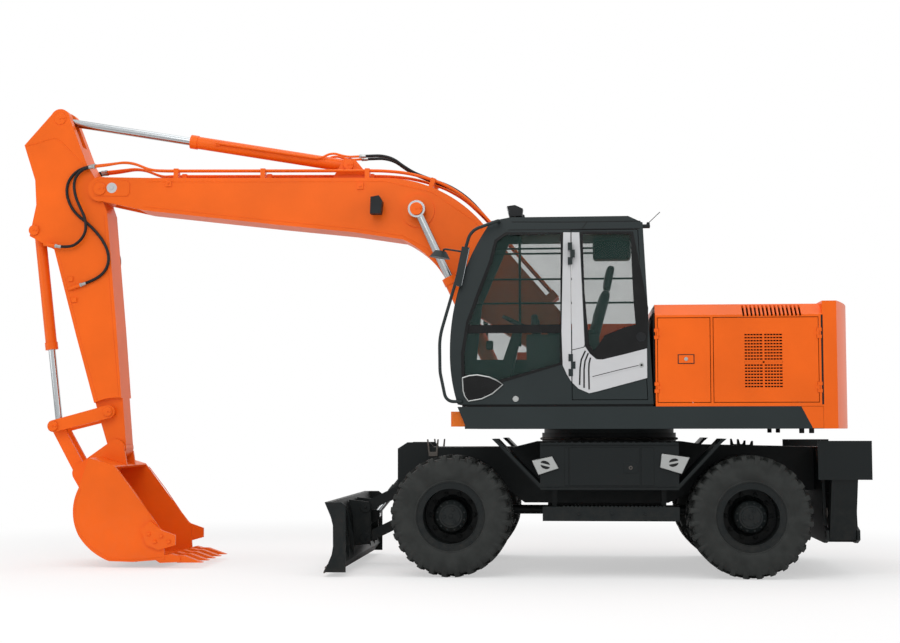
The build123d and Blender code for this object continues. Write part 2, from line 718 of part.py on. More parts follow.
BRACKET_IN = BOOM_HALF + GAP
BRACKET_OUT = BRACKET_IN + 40
with BuildPart() as upper_frame:
    plan(
        [
            (SILL_FRONT + 60, -SIDE_Y + 60),
            (WEIGHT_FRONT, -SIDE_Y + 60),
            (WEIGHT_FRONT, SIDE_Y - 60),
            (SILL_FRONT + 60, SIDE_Y - 60),
            (SILL_FRONT + 60, CHANNEL_HALF),
            (SLEW_X - 480, BRACKET_IN),
            (SLEW_X - 480, -BRACKET_IN),
            (SILL_FRONT + 60, -CHANNEL_HALF),
        ],
        SILL_LOW,
        SILL_LOW + 60,
    )
    with BuildSketch(Plane.XY.offset(RING_TOP)) as upper_ring:
        with Locations((SLEW_X, 0)):
            Circle(RING_R - 20)
    extrude(upper_ring.sketch, amount=SILL_LOW - RING_TOP)
    for side in (-1, 1):
        y_low, y_high = sorted((side * BRACKET_IN, side * BRACKET_OUT))
        outline(
            [
                (BOOM_FOOT[0] - 330, SILL_LOW + 60),
                (BOOM_FOOT[0] - 110, BOOM_FOOT[1] + 60),
                (BOOM_FOOT[0] - 50, BOOM_FOOT[1] + 110),
                (BOOM_FOOT[0] + 50, BOOM_FOOT[1] + 110),
                (BOOM_FOOT[0] + 110, BOOM_FOOT[1] + 60),
                (BOOM_FOOT[0] + 700, SILL_LOW + 200),
                (BOOM_FOOT[0] + 1500, SILL_LOW + 200),
                (BOOM_FOOT[0] + 1500, SILL_LOW + 60),
            ],
            y_low,
            y_high,
        )
        # the boom cylinder's base stands between two lugs
        for y_in in (BOOM_CYL_Y - BOOM_CYL_R - 16, BOOM_CYL_Y + BOOM_CYL_R + 4):
            y_low, y_high = sorted((side * y_in, side * (y_in + 12)))
            outline(
                [
                    (BOOM_CYL_BASE[0] - 110, SILL_LOW),
                    (BOOM_CYL_BASE[0] - 55, BOOM_CYL_BASE[1] + 10),
                    (BOOM_CYL_BASE[0] - 30, BOOM_CYL_BASE[1] + 50),
                    (BOOM_CYL_BASE[0] + 30, BOOM_CYL_BASE[1] + 50),
                    (BOOM_CYL_BASE[0] + 90, BOOM_CYL_BASE[1] - 40),
                    (BOOM_CYL_BASE[0] + 420, SILL_LOW + 60),
                    (BOOM_CYL_BASE[0] + 420, SILL_LOW),
                ],
                y_low,
                y_high,
            )
        y_low, y_high = sorted(
            (side * (BOOM_CYL_Y - BOOM_CYL_R - 16), side * (BOOM_CYL_Y + BOOM_CYL_R + 18))
        )
        boss(BOOM_CYL_BASE, PIN_R, y_low, y_high)
        y_low, y_high = sorted((side * (SIDE_Y - 60), side * SIDE_Y))
        outline(
            [
                (SILL_FRONT, DECK_TOP),
                (SILL_FRONT + 80, SILL_LOW),
                (WEIGHT_FRONT - 87, SILL_LOW),
                (WEIGHT_FRONT - 187, DECK_TOP),
            ],
            y_low,
            y_high,
        )
    boss(BOOM_FOOT, PIN_R, -BRACKET_OUT - 10, BRACKET_OUT + 10)
    for x in (FRONT_AXLE_X + 200, CAB_REAR - 120):
        for y in (CAB_OUTER + 120, CAB_INNER - 100):
            post(x, y, CAB_MOUNT_R, SILL_LOW + 60, CAB_FLOOR)
    block(
        SILL_FRONT + 60,
        SILL_FRONT + 80,
        -SIDE_Y + 60,
        -CHANNEL_HALF - 8,
        SILL_LOW + 60,
        DECK_TOP,
    )
    block(
        SILL_FRONT + 60,
        SILL_FRONT + 80,
        CHANNEL_HALF + 8,
        SIDE_Y - 60,
        SILL_LOW + 60,
        DECK_TOP,
    )
save(upper_frame, "upper_frame")

# Rear bodywork: hollow hood behind the cab, open at the top under the lid and at its doors

WALL = 25
HOOD_IN = BRACKET_OUT + 20
BODY_SECTION = [
    (-SIDE_Y, DECK_TOP),
    (-SIDE_Y, BODY_TOP - 100),
    (-SIDE_Y + 130, BODY_TOP),
    (SIDE_Y - 130, BODY_TOP),
    (SIDE_Y, BODY_TOP - 100),
    (SIDE_Y, DECK_TOP),
]
BODY_INSIDE = [
    (-SIDE_Y + WALL, DECK_TOP - 5),
    (-SIDE_Y + WALL, BODY_TOP - 100 - WALL * 0.4),
    (-SIDE_Y + 130, BODY_TOP - WALL),
    (SIDE_Y - 130, BODY_TOP - WALL),
    (SIDE_Y - WALL, BODY_TOP - 100 - WALL * 0.4),
    (SIDE_Y - WALL, DECK_TOP - 5),
]
BODY_FRONT = CAB_REAR + 20
DOOR_LOW = DECK_TOP + 30
DOOR_TOP = BODY_TOP - 120
SEAM = 6
DOORS = [
    # name, side, from, to, hinged edge and the way from it into the door
    ("service_door_front_left", -1, BODY_FRONT + 15, DOOR_SEAM - 15, BODY_FRONT + 15 + SEAM, 1),
    ("service_door_rear_left", -1, DOOR_SEAM + 5, WEIGHT_FRONT - 30, WEIGHT_FRONT - 30 - SEAM, -1),
    ("service_door_right", 1, DOOR_SEAM + 5, WEIGHT_FRONT - 30, WEIGHT_FRONT - 30 - SEAM, -1),
]
DOOR_HINGES = [1620, 2080]
VENTS = 15
GRILLE_ROWS = 18
DOOR_HINGE_HALF = 45
LID_FRONT = BODY_FRONT + 330
LID_REAR = WEIGHT_FRONT - 40
LID_HALF = 620
LID_PIVOT = (LID_FRONT + SEAM, BODY_TOP)
LID_HINGES = [-400, 400]
with BuildPart() as hood:
    front(BODY_SECTION, BODY_FRONT, WEIGHT_FRONT)
    front(BODY_INSIDE, BODY_FRONT + WALL, WEIGHT_FRONT + 5, mode=Mode.SUBTRACT)
    for name, side, x_low, x_high, hinge_x, way in DOORS:
        y_low, y_high = sorted((side * (SIDE_Y - 60), side * (SIDE_Y + 10)))
        block(x_low, x_high, y_low, y_high, DOOR_LOW, DOOR_TOP, mode=Mode.SUBTRACT)
    block(LID_FRONT, LID_REAR, -LID_HALF, LID_HALF, BODY_TOP - 60, BODY_TOP + 10, mode=Mode.SUBTRACT)
    block(
        BODY_FRONT - 10,
        BODY_FRONT + WALL + 10,
        -BRACKET_OUT - 20,
        BRACKET_OUT + 20,
        DECK_TOP,
        BODY_TOP - 300,
        mode=Mode.SUBTRACT,
    )
    # row of vents along the bevel on each side
    for n in range(VENTS):
        x = DOOR_SEAM + 258 + n * 34
        for side in (-1, 1):
            y_low, y_high = sorted((side * (SIDE_Y + 1), side * (SIDE_Y - 118)))
            block(x, x + 17, y_low, y_high, DOOR_TOP + 8, BODY_TOP - 10, mode=Mode.SUBTRACT)
    for name, side, x_low, x_high, hinge_x, way in DOORS:
        leaf = (*sorted((hinge_x, hinge_x - way * LEAF)), *sorted((side * (SIDE_Y - 2), side * (SIDE_Y + 4))))
        for z in DOOR_HINGES:
            hinge_fixed(hinge_x, side * SIDE_Y, z, DOOR_HINGE_HALF, leaf)
    for y in LID_HINGES:
        boss(LID_PIVOT, HINGE_R + 2, y - 16, y + 16, mode=Mode.SUBTRACT)
        boss(LID_PIVOT, HINGE_PIN, y - 45, y + 45)
        for low in (y - 45, y + 16):
            boss(LID_PIVOT, HINGE_R, low, low + 29)
            block(LID_PIVOT[0] - LEAF, LID_PIVOT[0], low, low + 29, BODY_TOP - 2, BODY_TOP + 4)
save(hood, "hood")
for name, side, x_low, x_high, hinge_x, way in DOORS:
    with BuildPart() as door:
        y_low, y_high = sorted((side * (SIDE_Y - WALL), side * SIDE_Y))
        block(x_low + SEAM, x_high - SEAM, y_low, y_high, DOOR_LOW + SEAM, DOOR_TOP - SEAM)
        if "front" not in name:
            # grille: two columns of slots
            for n in range(GRILLE_ROWS):
                z = 1620 + n * 26
                for column in (0, 1):
                    x = DOOR_SEAM + 271 + column * 166
                    block(x, x + 150, y_low, y_high, z, z + 13, mode=Mode.SUBTRACT)
        leaf = (*sorted((hinge_x, hinge_x + way * LEAF)), *sorted((side * (SIDE_Y - 2), side * (SIDE_Y + 4))))
        for z in DOOR_HINGES:
            hinge_moving(hinge_x, side * SIDE_Y, z, DOOR_HINGE_HALF, leaf)
    save(door, name)
with BuildPart() as lid:
    block(
        LID_FRONT + SEAM,
        LID_REAR - SEAM,
        -LID_HALF + SEAM,
        LID_HALF - SEAM,
        BODY_TOP - WALL,
        BODY_TOP,
    )
    for y in LID_HINGES:
        for low in (y - 47, y + 15):
            boss(LID_PIVOT, HINGE_R + 2, low, low + 32, mode=Mode.SUBTRACT)
        boss(LID_PIVOT, HINGE_R, y - 15, y + 15)
        block(LID_PIVOT[0], LID_PIVOT[0] + LEAF, y - 15, y + 15, BODY_TOP - 2, BODY_TOP + 4)
        boss(LID_PIVOT, HINGE_PIN + FIT, y - 15, y + 15, mode=Mode.SUBTRACT)
save(lid, "engine_hood_lid")

with BuildPart() as engine:
    block(DOOR_SEAM, DOOR_SEAM + 770, -420, 420, SILL_LOW + 200, 2120)
save(engine, "engine")

LIFT_HOLE_R = 18
LIFT_HOLE_DEPTH = 70
# Counterweight: curved in plan, with its rear edges rounded

with BuildPart() as weight:
    with BuildSketch(Plane.XY.offset(SILL_LOW)) as weight_plan:
        with BuildLine():
            Line((WEIGHT_FRONT, -SIDE_Y), (WEIGHT_FRONT, SIDE_Y))
            Line((WEIGHT_FRONT, SIDE_Y), (WEIGHT_FRONT + 120, SIDE_Y))
            ThreePointArc(
                (WEIGHT_FRONT + 120, SIDE_Y),
                (WEIGHT_REAR, 0),
                (WEIGHT_FRONT + 120, -SIDE_Y),
            )
            Line((WEIGHT_FRONT + 120, -SIDE_Y), (WEIGHT_FRONT, -SIDE_Y))
        make_face()
    extrude(weight_plan.sketch, amount=BODY_TOP + 15 - SILL_LOW)
    curved(
        [
            (WEIGHT_FRONT, SILL_LOW),
            (WEIGHT_REAR - 75, SILL_LOW),
            (WEIGHT_REAR - 22, SILL_LOW + 22, "arc"),
            (WEIGHT_REAR, SILL_LOW + 75),
            (WEIGHT_REAR, BODY_TOP - 165),
            (WEIGHT_REAR - 52, BODY_TOP - 38, "arc"),
            (WEIGHT_REAR - 180, BODY_TOP + 15),
            (WEIGHT_FRONT, BODY_TOP + 15),
        ],
        -SIDE_Y,
        SIDE_Y,
        mode=Mode.INTERSECT,
    )
    for side in (-1, 1):
        with BuildSketch(Plane.XY.offset(BODY_TOP + 15)) as thread:
            with Locations((WEIGHT_FRONT + 130, side * 500)):
                Circle(LIFT_HOLE_R)
        extrude(thread.sketch, amount=-LIFT_HOLE_DEPTH, mode=Mode.SUBTRACT)
save(weight, "counterweight")

# Cab: side outline with a bulging front, walls of one thickness, windows cut through them


def from_axle(points):
    """Points of the cab, counted from the front axle, in the machine's own frame."""
    return [(FRONT_AXLE_X + x, z) for x, z in points]


def cab_outline(inset):
    """The cab's side view, inset by a wall."""
    top, brow, waist, knee, toe, front_top = from_axle(
        [(355, CAB_ROOF - 30), (93, 2560), (-5, 1930), (11, 1700), (62, CAB_FLOOR), (515, CAB_ROOF)]
    )
    with BuildSketch(Plane.XZ.offset(-CAB_INNER)) as face:
        with BuildLine():
            ThreePointArc(top, brow, waist)
            ThreePointArc(waist, knee, toe)
            Polyline(
                toe,
                (CAB_REAR, CAB_FLOOR),
                (CAB_REAR - 75, CAB_ROOF - 60),
                (CAB_REAR - 200, CAB_ROOF),
                front_top,
                top,
            )
        make_face()
        if inset:
            offset(amount=-inset)
    return face.sketch


LEAN = 70
LEAN_FROM = 1950
ROOF_SEAM = CAB_ROOF - 115
PANE_TOP = ROOF_SEAM - 30
DOOR_EDGE = from_axle(
    [(1045, CAB_FLOOR + 35), (1695, CAB_FLOOR + 35), (1625, ROOF_SEAM), (1045, ROOF_SEAM)]
)
CAB_WINDOWS = [
    # front window on the left side with the low one under it, then the two of the right side
    (
        CAB_OUTER - 10,
        CAB_OUTER + 150,
        from_axle(
            [
                (480, PANE_TOP),
                (971, PANE_TOP),
                (958, 1830),
                (457, 1687),
                (180, 1530),
                (112, 1630),
                (107, 1927),
                (151, 2191),
                (247, 2456),
                (351, PANE_TOP - 240),
                (395, PANE_TOP - 60),
            ]
        ),
    ),
    (
        CAB_INNER - 60,
        CAB_INNER + 10,
        from_axle([(175, 1900), (1085, 1900), (1085, PANE_TOP), (475, PANE_TOP), (225, 2400)]),
    ),
    (
        CAB_INNER - 60,
        CAB_INNER + 10,
        from_axle([(1145, 1900), (1655, 1900), (1625, PANE_TOP), (1145, PANE_TOP)]),
    ),
]
# front panes, from and to across the machine and in height
FRONT_PANES = [(CAB_OUTER + 125, CAB_INNER - 50, 1960, PANE_TOP), (CAB_OUTER + 95, CAB_INNER - 50, 1570, 1900)]
REAR_PANE = (CAB_OUTER + 170, CAB_INNER - 90, 2380, PANE_TOP)


def cab_side(inset, mode=Mode.INTERSECT):
    """The cab seen from the front, leaning in above its waist."""
    front(
        [
            (CAB_INNER - inset, CAB_FLOOR - 50),
            (CAB_INNER - inset, CAB_ROOF + 50),
            (CAB_OUTER + LEAN + inset, CAB_ROOF + 50),
            (CAB_OUTER + inset, LEAN_FROM),
            (CAB_OUTER + inset, CAB_FLOOR - 50),
        ],
        FRONT_AXLE_X - 200,
        CAB_REAR + 200,
        mode=mode,
    )


DOOR_THICK = 40
DOOR_PANE = from_axle(
    [
        (1126, PANE_TOP - 10),
        (1579, PANE_TOP - 10),
        (1595, 2153),
        (1650, 2075),
        (1648, 1950),
        (1318, 1862),
        (1241, 1874),
        (1185, 1944),
        (1162, 2029),
    ]
)
DOOR_AXIS = (DOOR_FRONT + 3, CAB_OUTER - 8)
DOOR_HINGE_LONG = 95
# hinge heights, with how far the side leans in there
CAB_HINGES = [(1815, 0), (ROOF_SEAM - 215, 50)]
CAB_WIDE = CAB_INNER - CAB_OUTER
with BuildPart() as cab_room:
    extrude(cab_outline(CAB_WALL), amount=CAB_WIDE)
    cab_side(CAB_WALL)
with BuildPart() as cab_whole:
    extrude(cab_outline(0), amount=CAB_WIDE)
    cab_side(0)
    add(cab_room.part, mode=Mode.SUBTRACT)
    outline(DOOR_EDGE, CAB_OUTER - 10, CAB_OUTER + LEAN + CAB_WALL + 10, mode=Mode.SUBTRACT)
    for y_low, y_high, points in CAB_WINDOWS:
        outline(points, y_low, y_high, mode=Mode.SUBTRACT)
    for pane in FRONT_PANES:
        block(FRONT_AXLE_X - 100, FRONT_AXLE_X + 395, *pane, mode=Mode.SUBTRACT)
    block(CAB_REAR - 160, CAB_REAR + 10, *REAR_PANE, mode=Mode.SUBTRACT)
    for z, lean in CAB_HINGES:
        leaf = (DOOR_AXIS[0] - LEAF, DOOR_AXIS[0], DOOR_AXIS[1] - 4, CAB_OUTER + lean + 6)
        hinge_fixed(*DOOR_AXIS, z, DOOR_HINGE_LONG, leaf)
# the roof is a pressing of its own on the cab's frame
AROUND_CAB = (FRONT_AXLE_X - 300, CAB_REAR + 300, CAB_OUTER - 300, CAB_INNER + 300)
with BuildPart() as cab_shell:
    add(cab_whole.part)
    block(*AROUND_CAB, ROOF_SEAM, CAB_ROOF + 100, mode=Mode.SUBTRACT)
save(cab_shell, "cab_shell")
with BuildPart() as cab_roof:
    add(cab_whole.part)
    block(*AROUND_CAB, 0, ROOF_SEAM, mode=Mode.SUBTRACT)
save(cab_roof, "cab_roof")

# Cab door: the rear half of the cab's side, one pane in a frame, hinged at its front edge

with BuildPart() as cab_door:
    with BuildSketch(Plane.XZ.offset(-CAB_OUTER - LEAN - 60)) as edge:
        with BuildLine():
            Polyline(*DOOR_EDGE, close=True)
        make_face()
        offset(amount=-SEAM)
    extrude(edge.sketch, amount=LEAN + 70)
    front(
        [
            (CAB_OUTER, CAB_FLOOR - 50),
            (CAB_OUTER, LEAN_FROM),
            (CAB_OUTER + LEAN, CAB_ROOF + 50),
            (CAB_OUTER + LEAN + DOOR_THICK, CAB_ROOF + 50),
            (CAB_OUTER + DOOR_THICK, LEAN_FROM),
            (CAB_OUTER + DOOR_THICK, CAB_FLOOR - 50),
        ],
        FRONT_AXLE_X - 200,
        CAB_REAR + 200,
        mode=Mode.INTERSECT,
    )
    outline(DOOR_PANE, CAB_OUTER - 10, CAB_OUTER + LEAN + 60, mode=Mode.SUBTRACT)
    for z, lean in CAB_HINGES:
        leaf = (DOOR_AXIS[0], DOOR_AXIS[0] + LEAF, DOOR_AXIS[1] - 4, CAB_OUTER + lean + 6)
        hinge_moving(*DOOR_AXIS, z, DOOR_HINGE_LONG, leaf)
save(cab_door, "cab_door")

# Door glass, in the middle of the door's thickness
GLASS = 6
with BuildPart() as door_glass:
    with BuildSketch(Plane.XZ.offset(-CAB_OUTER - LEAN - 60)) as edge:
        with BuildLine():
            Polyline(*DOOR_PANE, close=True)
        make_face()
        offset(amount=-FIT)
    extrude(edge.sketch, amount=LEAN + 70)
    pane_y = CAB_OUTER + 12
    front(
        [
            (pane_y, CAB_FLOOR - 50),
            (pane_y, LEAN_FROM),
            (pane_y + LEAN, CAB_ROOF + 50),
            (pane_y + LEAN + GLASS, CAB_ROOF + 50),
            (pane_y + GLASS, LEAN_FROM),
            (pane_y + GLASS, CAB_FLOOR - 50),
        ],
        FRONT_AXLE_X - 200,
        CAB_REAR + 200,
        mode=Mode.INTERSECT,
    )
save(door_glass, "cab_door_glass")

# Fixed panes: a thin layer of the cab's own outline, kept only in the windows
with BuildPart() as glass_room:
    extrude(cab_outline(18 + GLASS), amount=CAB_WIDE)
    cab_side(18 + GLASS)
with BuildPart() as cab_glass:
    extrude(cab_outline(18), amount=CAB_WIDE)
    cab_side(18)
    add(glass_room.part, mode=Mode.SUBTRACT)
    with BuildPart(mode=Mode.PRIVATE) as openings:
        for y_low, y_high, points in CAB_WINDOWS:
            outline(points, y_low, y_high)
        for pane in FRONT_PANES:
            block(FRONT_AXLE_X - 100, FRONT_AXLE_X + 395, *pane)
        block(CAB_REAR - 160, CAB_REAR + 10, *REAR_PANE)
    add(openings.part, mode=Mode.INTERSECT)
save(cab_glass, "cab_glass")

# Seat with its consoles and the steering column, on the cab's floor
SEAT_X = FRONT_AXLE_X + 985
SEAT_Y = (CAB_INNER + CAB_OUTER) / 2
FLOOR = CAB_FLOOR + CAB_WALL
with BuildPart() as seat:
    block(SEAT_X - 200, SEAT_X + 300, SEAT_Y - 180, SEAT_Y + 180, FLOOR, FLOOR + 260)
    block(SEAT_X - 260, SEAT_X + 250, SEAT_Y - 240, SEAT_Y + 240, FLOOR + 260, FLOOR + 390)
    outline(
        [
            (SEAT_X + 150, FLOOR + 380),
            (SEAT_X + 270, FLOOR + 380),
            (SEAT_X + 420, FLOOR + 960),
            (SEAT_X + 320, FLOOR + 980),
        ],
        SEAT_Y - 230,
        SEAT_Y + 230,
    )
    outline(
        [
            (SEAT_X + 325, FLOOR + 950),
            (SEAT_X + 400, FLOOR + 950),
            (SEAT_X + 450, FLOOR + 1180),
            (SEAT_X + 370, FLOOR + 1190),
        ],
        SEAT_Y - 120,
        SEAT_Y + 120,
    )
save(seat, "seat")
with BuildPart() as consoles:
    for side in (-1, 1):
        y_low, y_high = sorted((SEAT_Y + side * 250, SEAT_Y + side * 345))
        block(SEAT_X - 330, SEAT_X + 300, y_low, y_high, FLOOR, FLOOR + 560)
        with BuildSketch(Plane.XY.offset(FLOOR + 560)) as lever:
            with Locations((SEAT_X - 260, SEAT_Y + side * 297)):
                Circle(22)
        extrude(lever.sketch, amount=150)
    outline(
        from_axle([(315, FLOOR), (455, FLOOR), (615, FLOOR + 640), (545, FLOOR + 660)]),
        SEAT_Y - 60,
        SEAT_Y + 60,
    )
    with BuildSketch(Plane((FRONT_AXLE_X + 595, SEAT_Y, FLOOR + 650), x_dir=(0, 1, 0), z_dir=(0.5, 0, 1))) as wheel_ring:
        Circle(190)
        Circle(165, mode=Mode.SUBTRACT)
        Rectangle(340, 40)
    extrude(wheel_ring.sketch, amount=26)
save(consoles, "consoles")

# Right side: fuel tank behind, tool box with a stepped front

TANK_IN = CHANNEL_HALF + 20
TANK_FRONT = FRONT_AXLE_X + 885
with BuildPart() as tank:
    outline(
        [
            (TANK_FRONT, DECK_TOP + 4),
            (BODY_FRONT - GAP, DECK_TOP + 4),
            (BODY_FRONT - GAP, BODY_TOP - 60),
            (TANK_FRONT + 60, BODY_TOP - 60),
            (TANK_FRONT, BODY_TOP - 140),
        ],
        TANK_IN,
        SIDE_Y,
    )
    outline(
        [
            (SILL_FRONT + 60, DECK_TOP + 4),
            (TANK_FRONT, DECK_TOP + 4),
            (TANK_FRONT, 2010),
            (FRONT_AXLE_X + 515, 2010),
            (FRONT_AXLE_X + 475, 1760),
            (SILL_FRONT + 95, 1740),
        ],
        TANK_IN,
        SIDE_Y,
    )
    block(SILL_FRONT + 90, BODY_FRONT - GAP, TANK_IN, SIDE_Y - 70, SILL_LOW + 60, DECK_TOP + 4)
save(tank, "tank_and_tool_box")


# Rails and mirrors: bent tubes on the body, with mirror heads

RAIL_R = 14
with BuildPart() as rails:
    rail_y = CAB_OUTER - 26
    bent_tube(
        [
            (FRONT_AXLE_X + 95, CAB_OUTER - FIT, 1505),
            (FRONT_AXLE_X + 95, rail_y, 1505),
            (FRONT_AXLE_X - 35, rail_y, 1505),
            (FRONT_AXLE_X - 88, rail_y, 1760),
            (FRONT_AXLE_X - 92, rail_y, 2060),
            (FRONT_AXLE_X + 180, rail_y, 2985),
            (FRONT_AXLE_X + 420, rail_y, 3070),
            (FRONT_AXLE_X + 420, CAB_OUTER + LEAN - 8, 3070),
        ],
        RAIL_R,
        [16, 80, 300, 600, 150, 16],
    )
    # two mirrors on the rail: a tall one, and a round one on an arm
    outline(
        from_axle([(105, 2847), (168, 2838), (97, 2497), (35, 2513)]),
        rail_y - RAIL_R,
        rail_y + 50,
    )
    bent_tube(
        [
            (FRONT_AXLE_X + 120, rail_y, 2800),
            (FRONT_AXLE_X - 60, rail_y, 2830),
            (FRONT_AXLE_X - 60, rail_y + 80, 2820),
        ],
        8,
        [40],
    )
    with BuildSketch(Plane(origin=(FRONT_AXLE_X - 97, rail_y + 80, 2760), z_dir=(0.15, 0, 1))) as dish:
        Circle(92)
    extrude(dish.sketch, amount=60, taper=35)
    # mirror on the right side, on the tool box
    block(FRONT_AXLE_X + 145, FRONT_AXLE_X + 190, 1055, SIDE_Y + 20, 2130, 2470)
    bent_tube(
        [
            (FRONT_AXLE_X + 168, 1150, 2140),
            (FRONT_AXLE_X + 168, 1150, 2050),
            (FRONT_AXLE_X + 300, 1150, 1850),
            (FRONT_AXLE_X + 300, 1150, 1750),
        ],
        RAIL_R,
        [60, 60],
    )
save(rails, "rails_and_mirrors")
with BuildPart() as lamps:
    for side in (-1, 1):
        y_low, y_high = sorted((side * (SIDE_Y - 260), side * (SIDE_Y - 60)))
        block(SILL_FRONT - 60, SILL_FRONT + 60, y_low, y_high, 1290, 1420)
save(lamps, "front_lamps")
# work lamps on the cab's roof and on the boom: a box with a hooded lens on a foot
with BuildPart() as work_lamps:
    for y in (CAB_OUTER + 260, CAB_INNER - 160):
        x = FRONT_AXLE_X + 560
        block(x, x + 60, y - 22, y + 22, CAB_ROOF, CAB_ROOF + 30)
        outline(
            [
                (x - 55, CAB_ROOF + 30),
                (x + 55, CAB_ROOF + 30),
                (x + 65, CAB_ROOF + 95),
                (x - 5, CAB_ROOF + 128),
                (x - 75, CAB_ROOF + 118),
            ],
            y - 62,
            y + 62,
        )
save(work_lamps, "work_lamps")

# Boom: box section with a foot, a bent back and a fork for the arm

BOOM_SIDE = [
    (-4735, 1930),
    (-4250, 1916),
    (-1990, 1883),
    (-1530, 1775, "arc"),
    (-1105, 1466),
    (75, 105),
    (-60, -115),
    (-1320, 700),
    (-1400, 860),
    (-1592, 1130, "arc"),
    (-1830, 1296),
    (-2310, 1371),
    (-3030, 1450),
    (-4320, 1604),
    (-4790, 1712),
]
FORK_HALF = ARM_HALF + GAP
# Pipes along the boom's top: the line that all follow, seen from the side and counted from
# the foot pin, and the distance of each from the middle
PIPE_R = 12
HOSE_R = 14
PIPE_LANES = [140, 178]
HOSE_LANE = 70
PIPE_LINE = [
    shifted(BOOM_FOOT, p)
    for p in (
        (-4467, 2077),
        (-4253, 1989),
        (-2039, 1958),
        (-1830, 1938),
        (-1640, 1893),
        (-1450, 1823),
        (-1270, 1715),
        (-1093, 1547),
        (-401, 753),
    )
]
CLAMP_HALF = 22
CLAMPS = [
    # run of the line, place along it, half length, depth down into the boom
    (1, 240, CLAMP_HALF, 90),
    (1, 1080, CLAMP_HALF, 90),
    (1, 2080, CLAMP_HALF, 90),
    (4, 100, CLAMP_HALF, 110),
    (7, 150, CLAMP_HALF, 110),
    (7, 1030, 40, 110),
]
with BuildPart() as boom:
    curved(moved(BOOM_FOOT, BOOM_SIDE), -BOOM_HALF, BOOM_HALF)
    boss(BOOM_FOOT, 130, -BOOM_HALF, BOOM_HALF)
    boss(ARM_PIN, 118, -BOOM_HALF, BOOM_HALF)
    boss(ARM_PIN, 430, -FORK_HALF, FORK_HALF, mode=Mode.SUBTRACT)
    boss(ARM_PIN, PIN_R, -BOOM_HALF - 12, BOOM_HALF + 12)
    boss(BOOM_FOOT, PIN_HOLE, -BOOM_HALF, BOOM_HALF, mode=Mode.SUBTRACT)
    # doubler plates at the boom cylinders' pins
    for side in (-1, 1):
        y_low, y_high = sorted((side * (BOOM_HALF - 5), side * (BOOM_HALF + 12)))
        boss(shifted(BOOM_FOOT, BOOM_CYL_PIN), 155, y_low, y_high)
        # lugs for the arm cylinder's base
        y_low, y_high = sorted((side * 72, side * 97))
        outline(
            [
                shifted(BOOM_FOOT, p)
                for p in (
                    (ARM_CYL_BASE[0] - 190, 1840),
                    (ARM_CYL_BASE[0] - 45, ARM_CYL_BASE[1] + 60),
                    (ARM_CYL_BASE[0] + 60, ARM_CYL_BASE[1] + 55),
                    (ARM_CYL_BASE[0] + 260, 1840),
                )
            ],
            y_low,
            y_high,
        )
    boss(shifted(BOOM_FOOT, ARM_CYL_BASE), PIN_R, -105, 105)
    # clamps that hold the pipes, and the block at the foot where the hoses end
    for run, start, half, drop in CLAMPS:
        a, b = PIPE_LINE[run], PIPE_LINE[run + 1]
        span = distance(a, b)
        ux, uz = (b[0] - a[0]) / span, (b[1] - a[1]) / span
        at = (a[0] + ux * start, a[1] + uz * start)
        plate = [
            (at[0] + ux * u - uz * n, at[1] + uz * u + ux * n)
            for u, n in ((-half, 18), (half, 18), (half, -drop), (-half, -drop))
        ]
        lanes = PIPE_LANES + ([HOSE_LANE] if half > CLAMP_HALF else [])
        for side in (-1, 1):
            y_low, y_high = sorted((side * (min(lanes) - 22), side * (max(lanes) + 22)))
            outline(plate, y_low, y_high)
            for lane in lanes:
                r = PIPE_R if lane in PIPE_LANES else HOSE_R
                stop = min(start + half + 20, span + FIT)
                tube(a, b, side * lane, r + FIT, start - half - 20, stop, mode=Mode.SUBTRACT)
save(boom, "boom")

LAMP_AT = shifted(BOOM_FOOT, (-2062, 1600))
with BuildPart() as boom_lamp:
    y = -BOOM_HALF
    block(LAMP_AT[0] - 14, LAMP_AT[0] + 14, y - 70, y, LAMP_AT[1] - 60, LAMP_AT[1] - 32)
    outline(
        [shifted(LAMP_AT, p) for p in ((-62, -75), (-58, 82), (20, 96), (52, 40), (38, -75))],
        y - 150,
        y - 40,
    )
save(boom_lamp, "boom_lamp")

# Steel pipes on the boom, from the tip to the block at the foot; they stay outside the arm's
# head up to the second bend, past where it swings back over the boom
PIPE_TURN_IN = 130
with BuildPart() as pipes:
    for side in (-1, 1):
        for lane, tip_y, tip_z in ((PIPE_LANES[0], 180, 2046), (PIPE_LANES[1], 212, 2031)):
            tip = shifted(BOOM_FOOT, (-4798, tip_z))
            (knee_x, knee_z), (bend_x, bend_z), (end_x, end_z) = PIPE_LINE[:3]
            turn_z = bend_z + (end_z - bend_z) * PIPE_TURN_IN / (end_x - bend_x)
            bent_tube(
                [
                    (tip[0], side * tip_y, tip[1]),
                    (tip[0] + 90, side * tip_y, tip[1] + 8),
                    (knee_x, side * (tip_y + 1), knee_z),
                    (bend_x, side * tip_y, bend_z),
                    (bend_x + PIPE_TURN_IN, side * lane, turn_z),
                    *[(x, side * lane, z) for x, z in PIPE_LINE[2:]],
                ],
                PIPE_R,
            )
save(pipes, "boom_pipes")

# Cylinders of the boom and the arm

